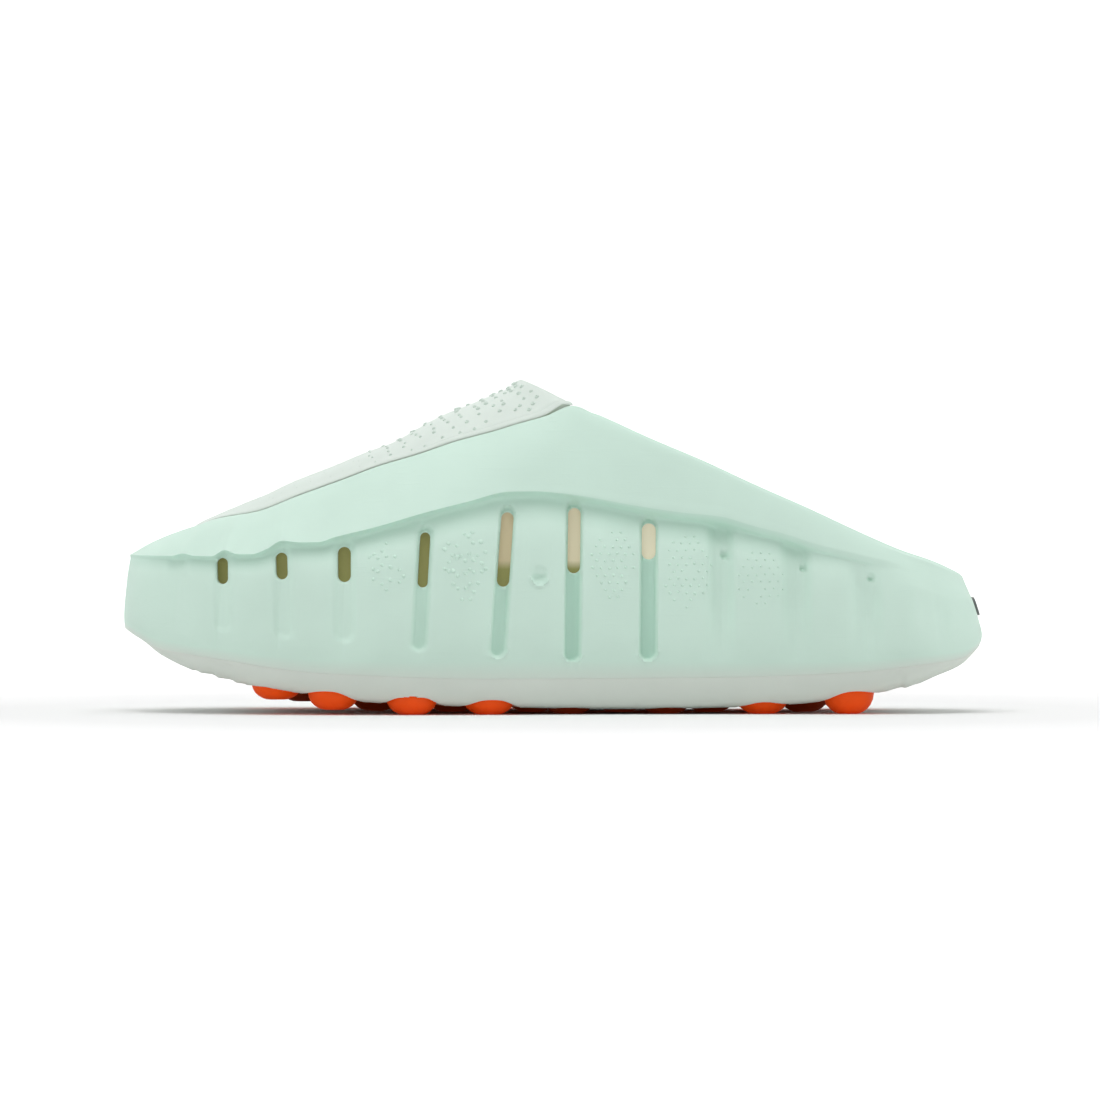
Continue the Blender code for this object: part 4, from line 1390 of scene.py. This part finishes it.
def area_light(name, place, target, across, along, power):
    data = bpy.data.lights.new(name, "AREA")
    data.shape = "RECTANGLE"
    data.size = across
    data.size_y = along
    data.energy = power
    light = in_scene(name, data)
    light.location = place
    direction = Vector(target) - Vector(place)
    light.rotation_euler = direction.to_track_quat("-Z", "Y").to_euler()


def floor_material():
    """A pale matt floor that glows to white away from the shoe and is left dim under it."""
    nodes = Nodes("floor_paint", 0.9)
    colour = nodes.mottle(3.0, FLOOR_PALE, 0.995, 1.0)
    length = nodes.add("VectorMath", "Value", {0: nodes.place}, operation="LENGTH")
    near, far = FLOOR_GLOW_NEAR, FLOOR_GLOW_FAR
    nodes.glow(WHITE, nodes.range(length, near[0], far[0], near[1], far[1]))
    return nodes.finish(colour, nodes.grain(3.0, 0.0001, 0.1))


def make_studio():
    """A pale floor that sweeps up behind, a white surround and soft lights."""
    profile = [(FLOOR_FRONT, 0.0), (SWEEP_START, 0.0)]
    for k in range(1, SWEEP_STEPS + 1):
        angle = math.pi / 2 * k / SWEEP_STEPS
        sweep = SWEEP_RADIUS * math.sin(angle)
        profile.append((SWEEP_START + sweep, SWEEP_RADIUS - SWEEP_RADIUS * math.cos(angle)))
    profile.append((SWEEP_START + SWEEP_RADIUS, WALL_TOP))
    vertices, faces = [], []
    for x, z in profile:
        vertices += [(x, -FLOOR_HALF, z), (x, FLOOR_HALF, z)]
    for k in range(len(profile) - 1):
        faces.append((2 * k, 2 * k + 2, 2 * k + 3, 2 * k + 1))
    floor = mesh_object("pale_floor", vertices, faces, floor_material())
    floor.location = (0.0, 0.0, 0.0)
    world = bpy.data.worlds.new("studio")
    bpy.context.scene.world = world
    world.use_nodes = True
    background = world.node_tree.nodes["Background"]
    background.inputs["Color"].default_value = WHITE
    background.inputs["Strength"].default_value = SURROUND
    for light in LIGHTS:
        area_light(*light)


def ride(piece, slot, *nodes):
    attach(piece, "root")
    if nodes:
        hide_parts(*nodes)


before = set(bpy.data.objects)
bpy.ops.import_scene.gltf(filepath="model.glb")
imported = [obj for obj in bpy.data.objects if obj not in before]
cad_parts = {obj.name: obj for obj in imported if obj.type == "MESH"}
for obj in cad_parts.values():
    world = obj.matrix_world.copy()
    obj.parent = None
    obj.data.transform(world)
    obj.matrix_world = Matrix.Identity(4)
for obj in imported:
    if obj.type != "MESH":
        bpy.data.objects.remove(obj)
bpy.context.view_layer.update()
sole_low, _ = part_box("sole")
lowest_across = min(outline(k / 40).x for k in range(40 * len(ROUND)))
PLACE = Vector((sole_low[0] - lowest_across, sole_low[1] + LENGTH / 2, 0.0))
make_camera()
mint = foam_material("mint_foam_fine", MINT, 0.58, True)
sole_foam = foam_material("sole_foam_fine", SOLE_PALE, 0.62, False)
tongue_foam = foam_material("tongue_foam_fine", TONGUE_PALE, 0.52, False)
ride(make_upper(mint), "mint_foam", "upper")
ride(make_lining(lining_material()), "insole_foam")
ride(make_sole(sole_foam), "sole_rubber", "sole")
ride(make_tongue(tongue_foam), "tongue_foam", "tongue")
ride(make_tongue_dots(foam_material("dot_foam_fine", DOT_MINT_AND_SHADE, 0.52, False)), "tongue_foam")
ride(make_pod_dots(foam_material("mint_dots_fine", MINT, 0.55, False)), "mint_foam")
ride(make_insole(insole_material()), "insole_foam", "insole")
ride(make_badge(badge_material()), "badge_plastic", "heel_badge")
bright_rubber = stud_material("stud_rubber_fine", 1.0)
# a darker copy of the rubber with painted shade
shaded_rubber = stud_material("stud_rubber_shaded", SHADED_TONE)
for stud, node in make_studs(bright_rubber, shaded_rubber):
    ride(stud, "stud_rubber", node)
make_studio()
bpy.context.scene.view_settings.view_transform = "Standard"
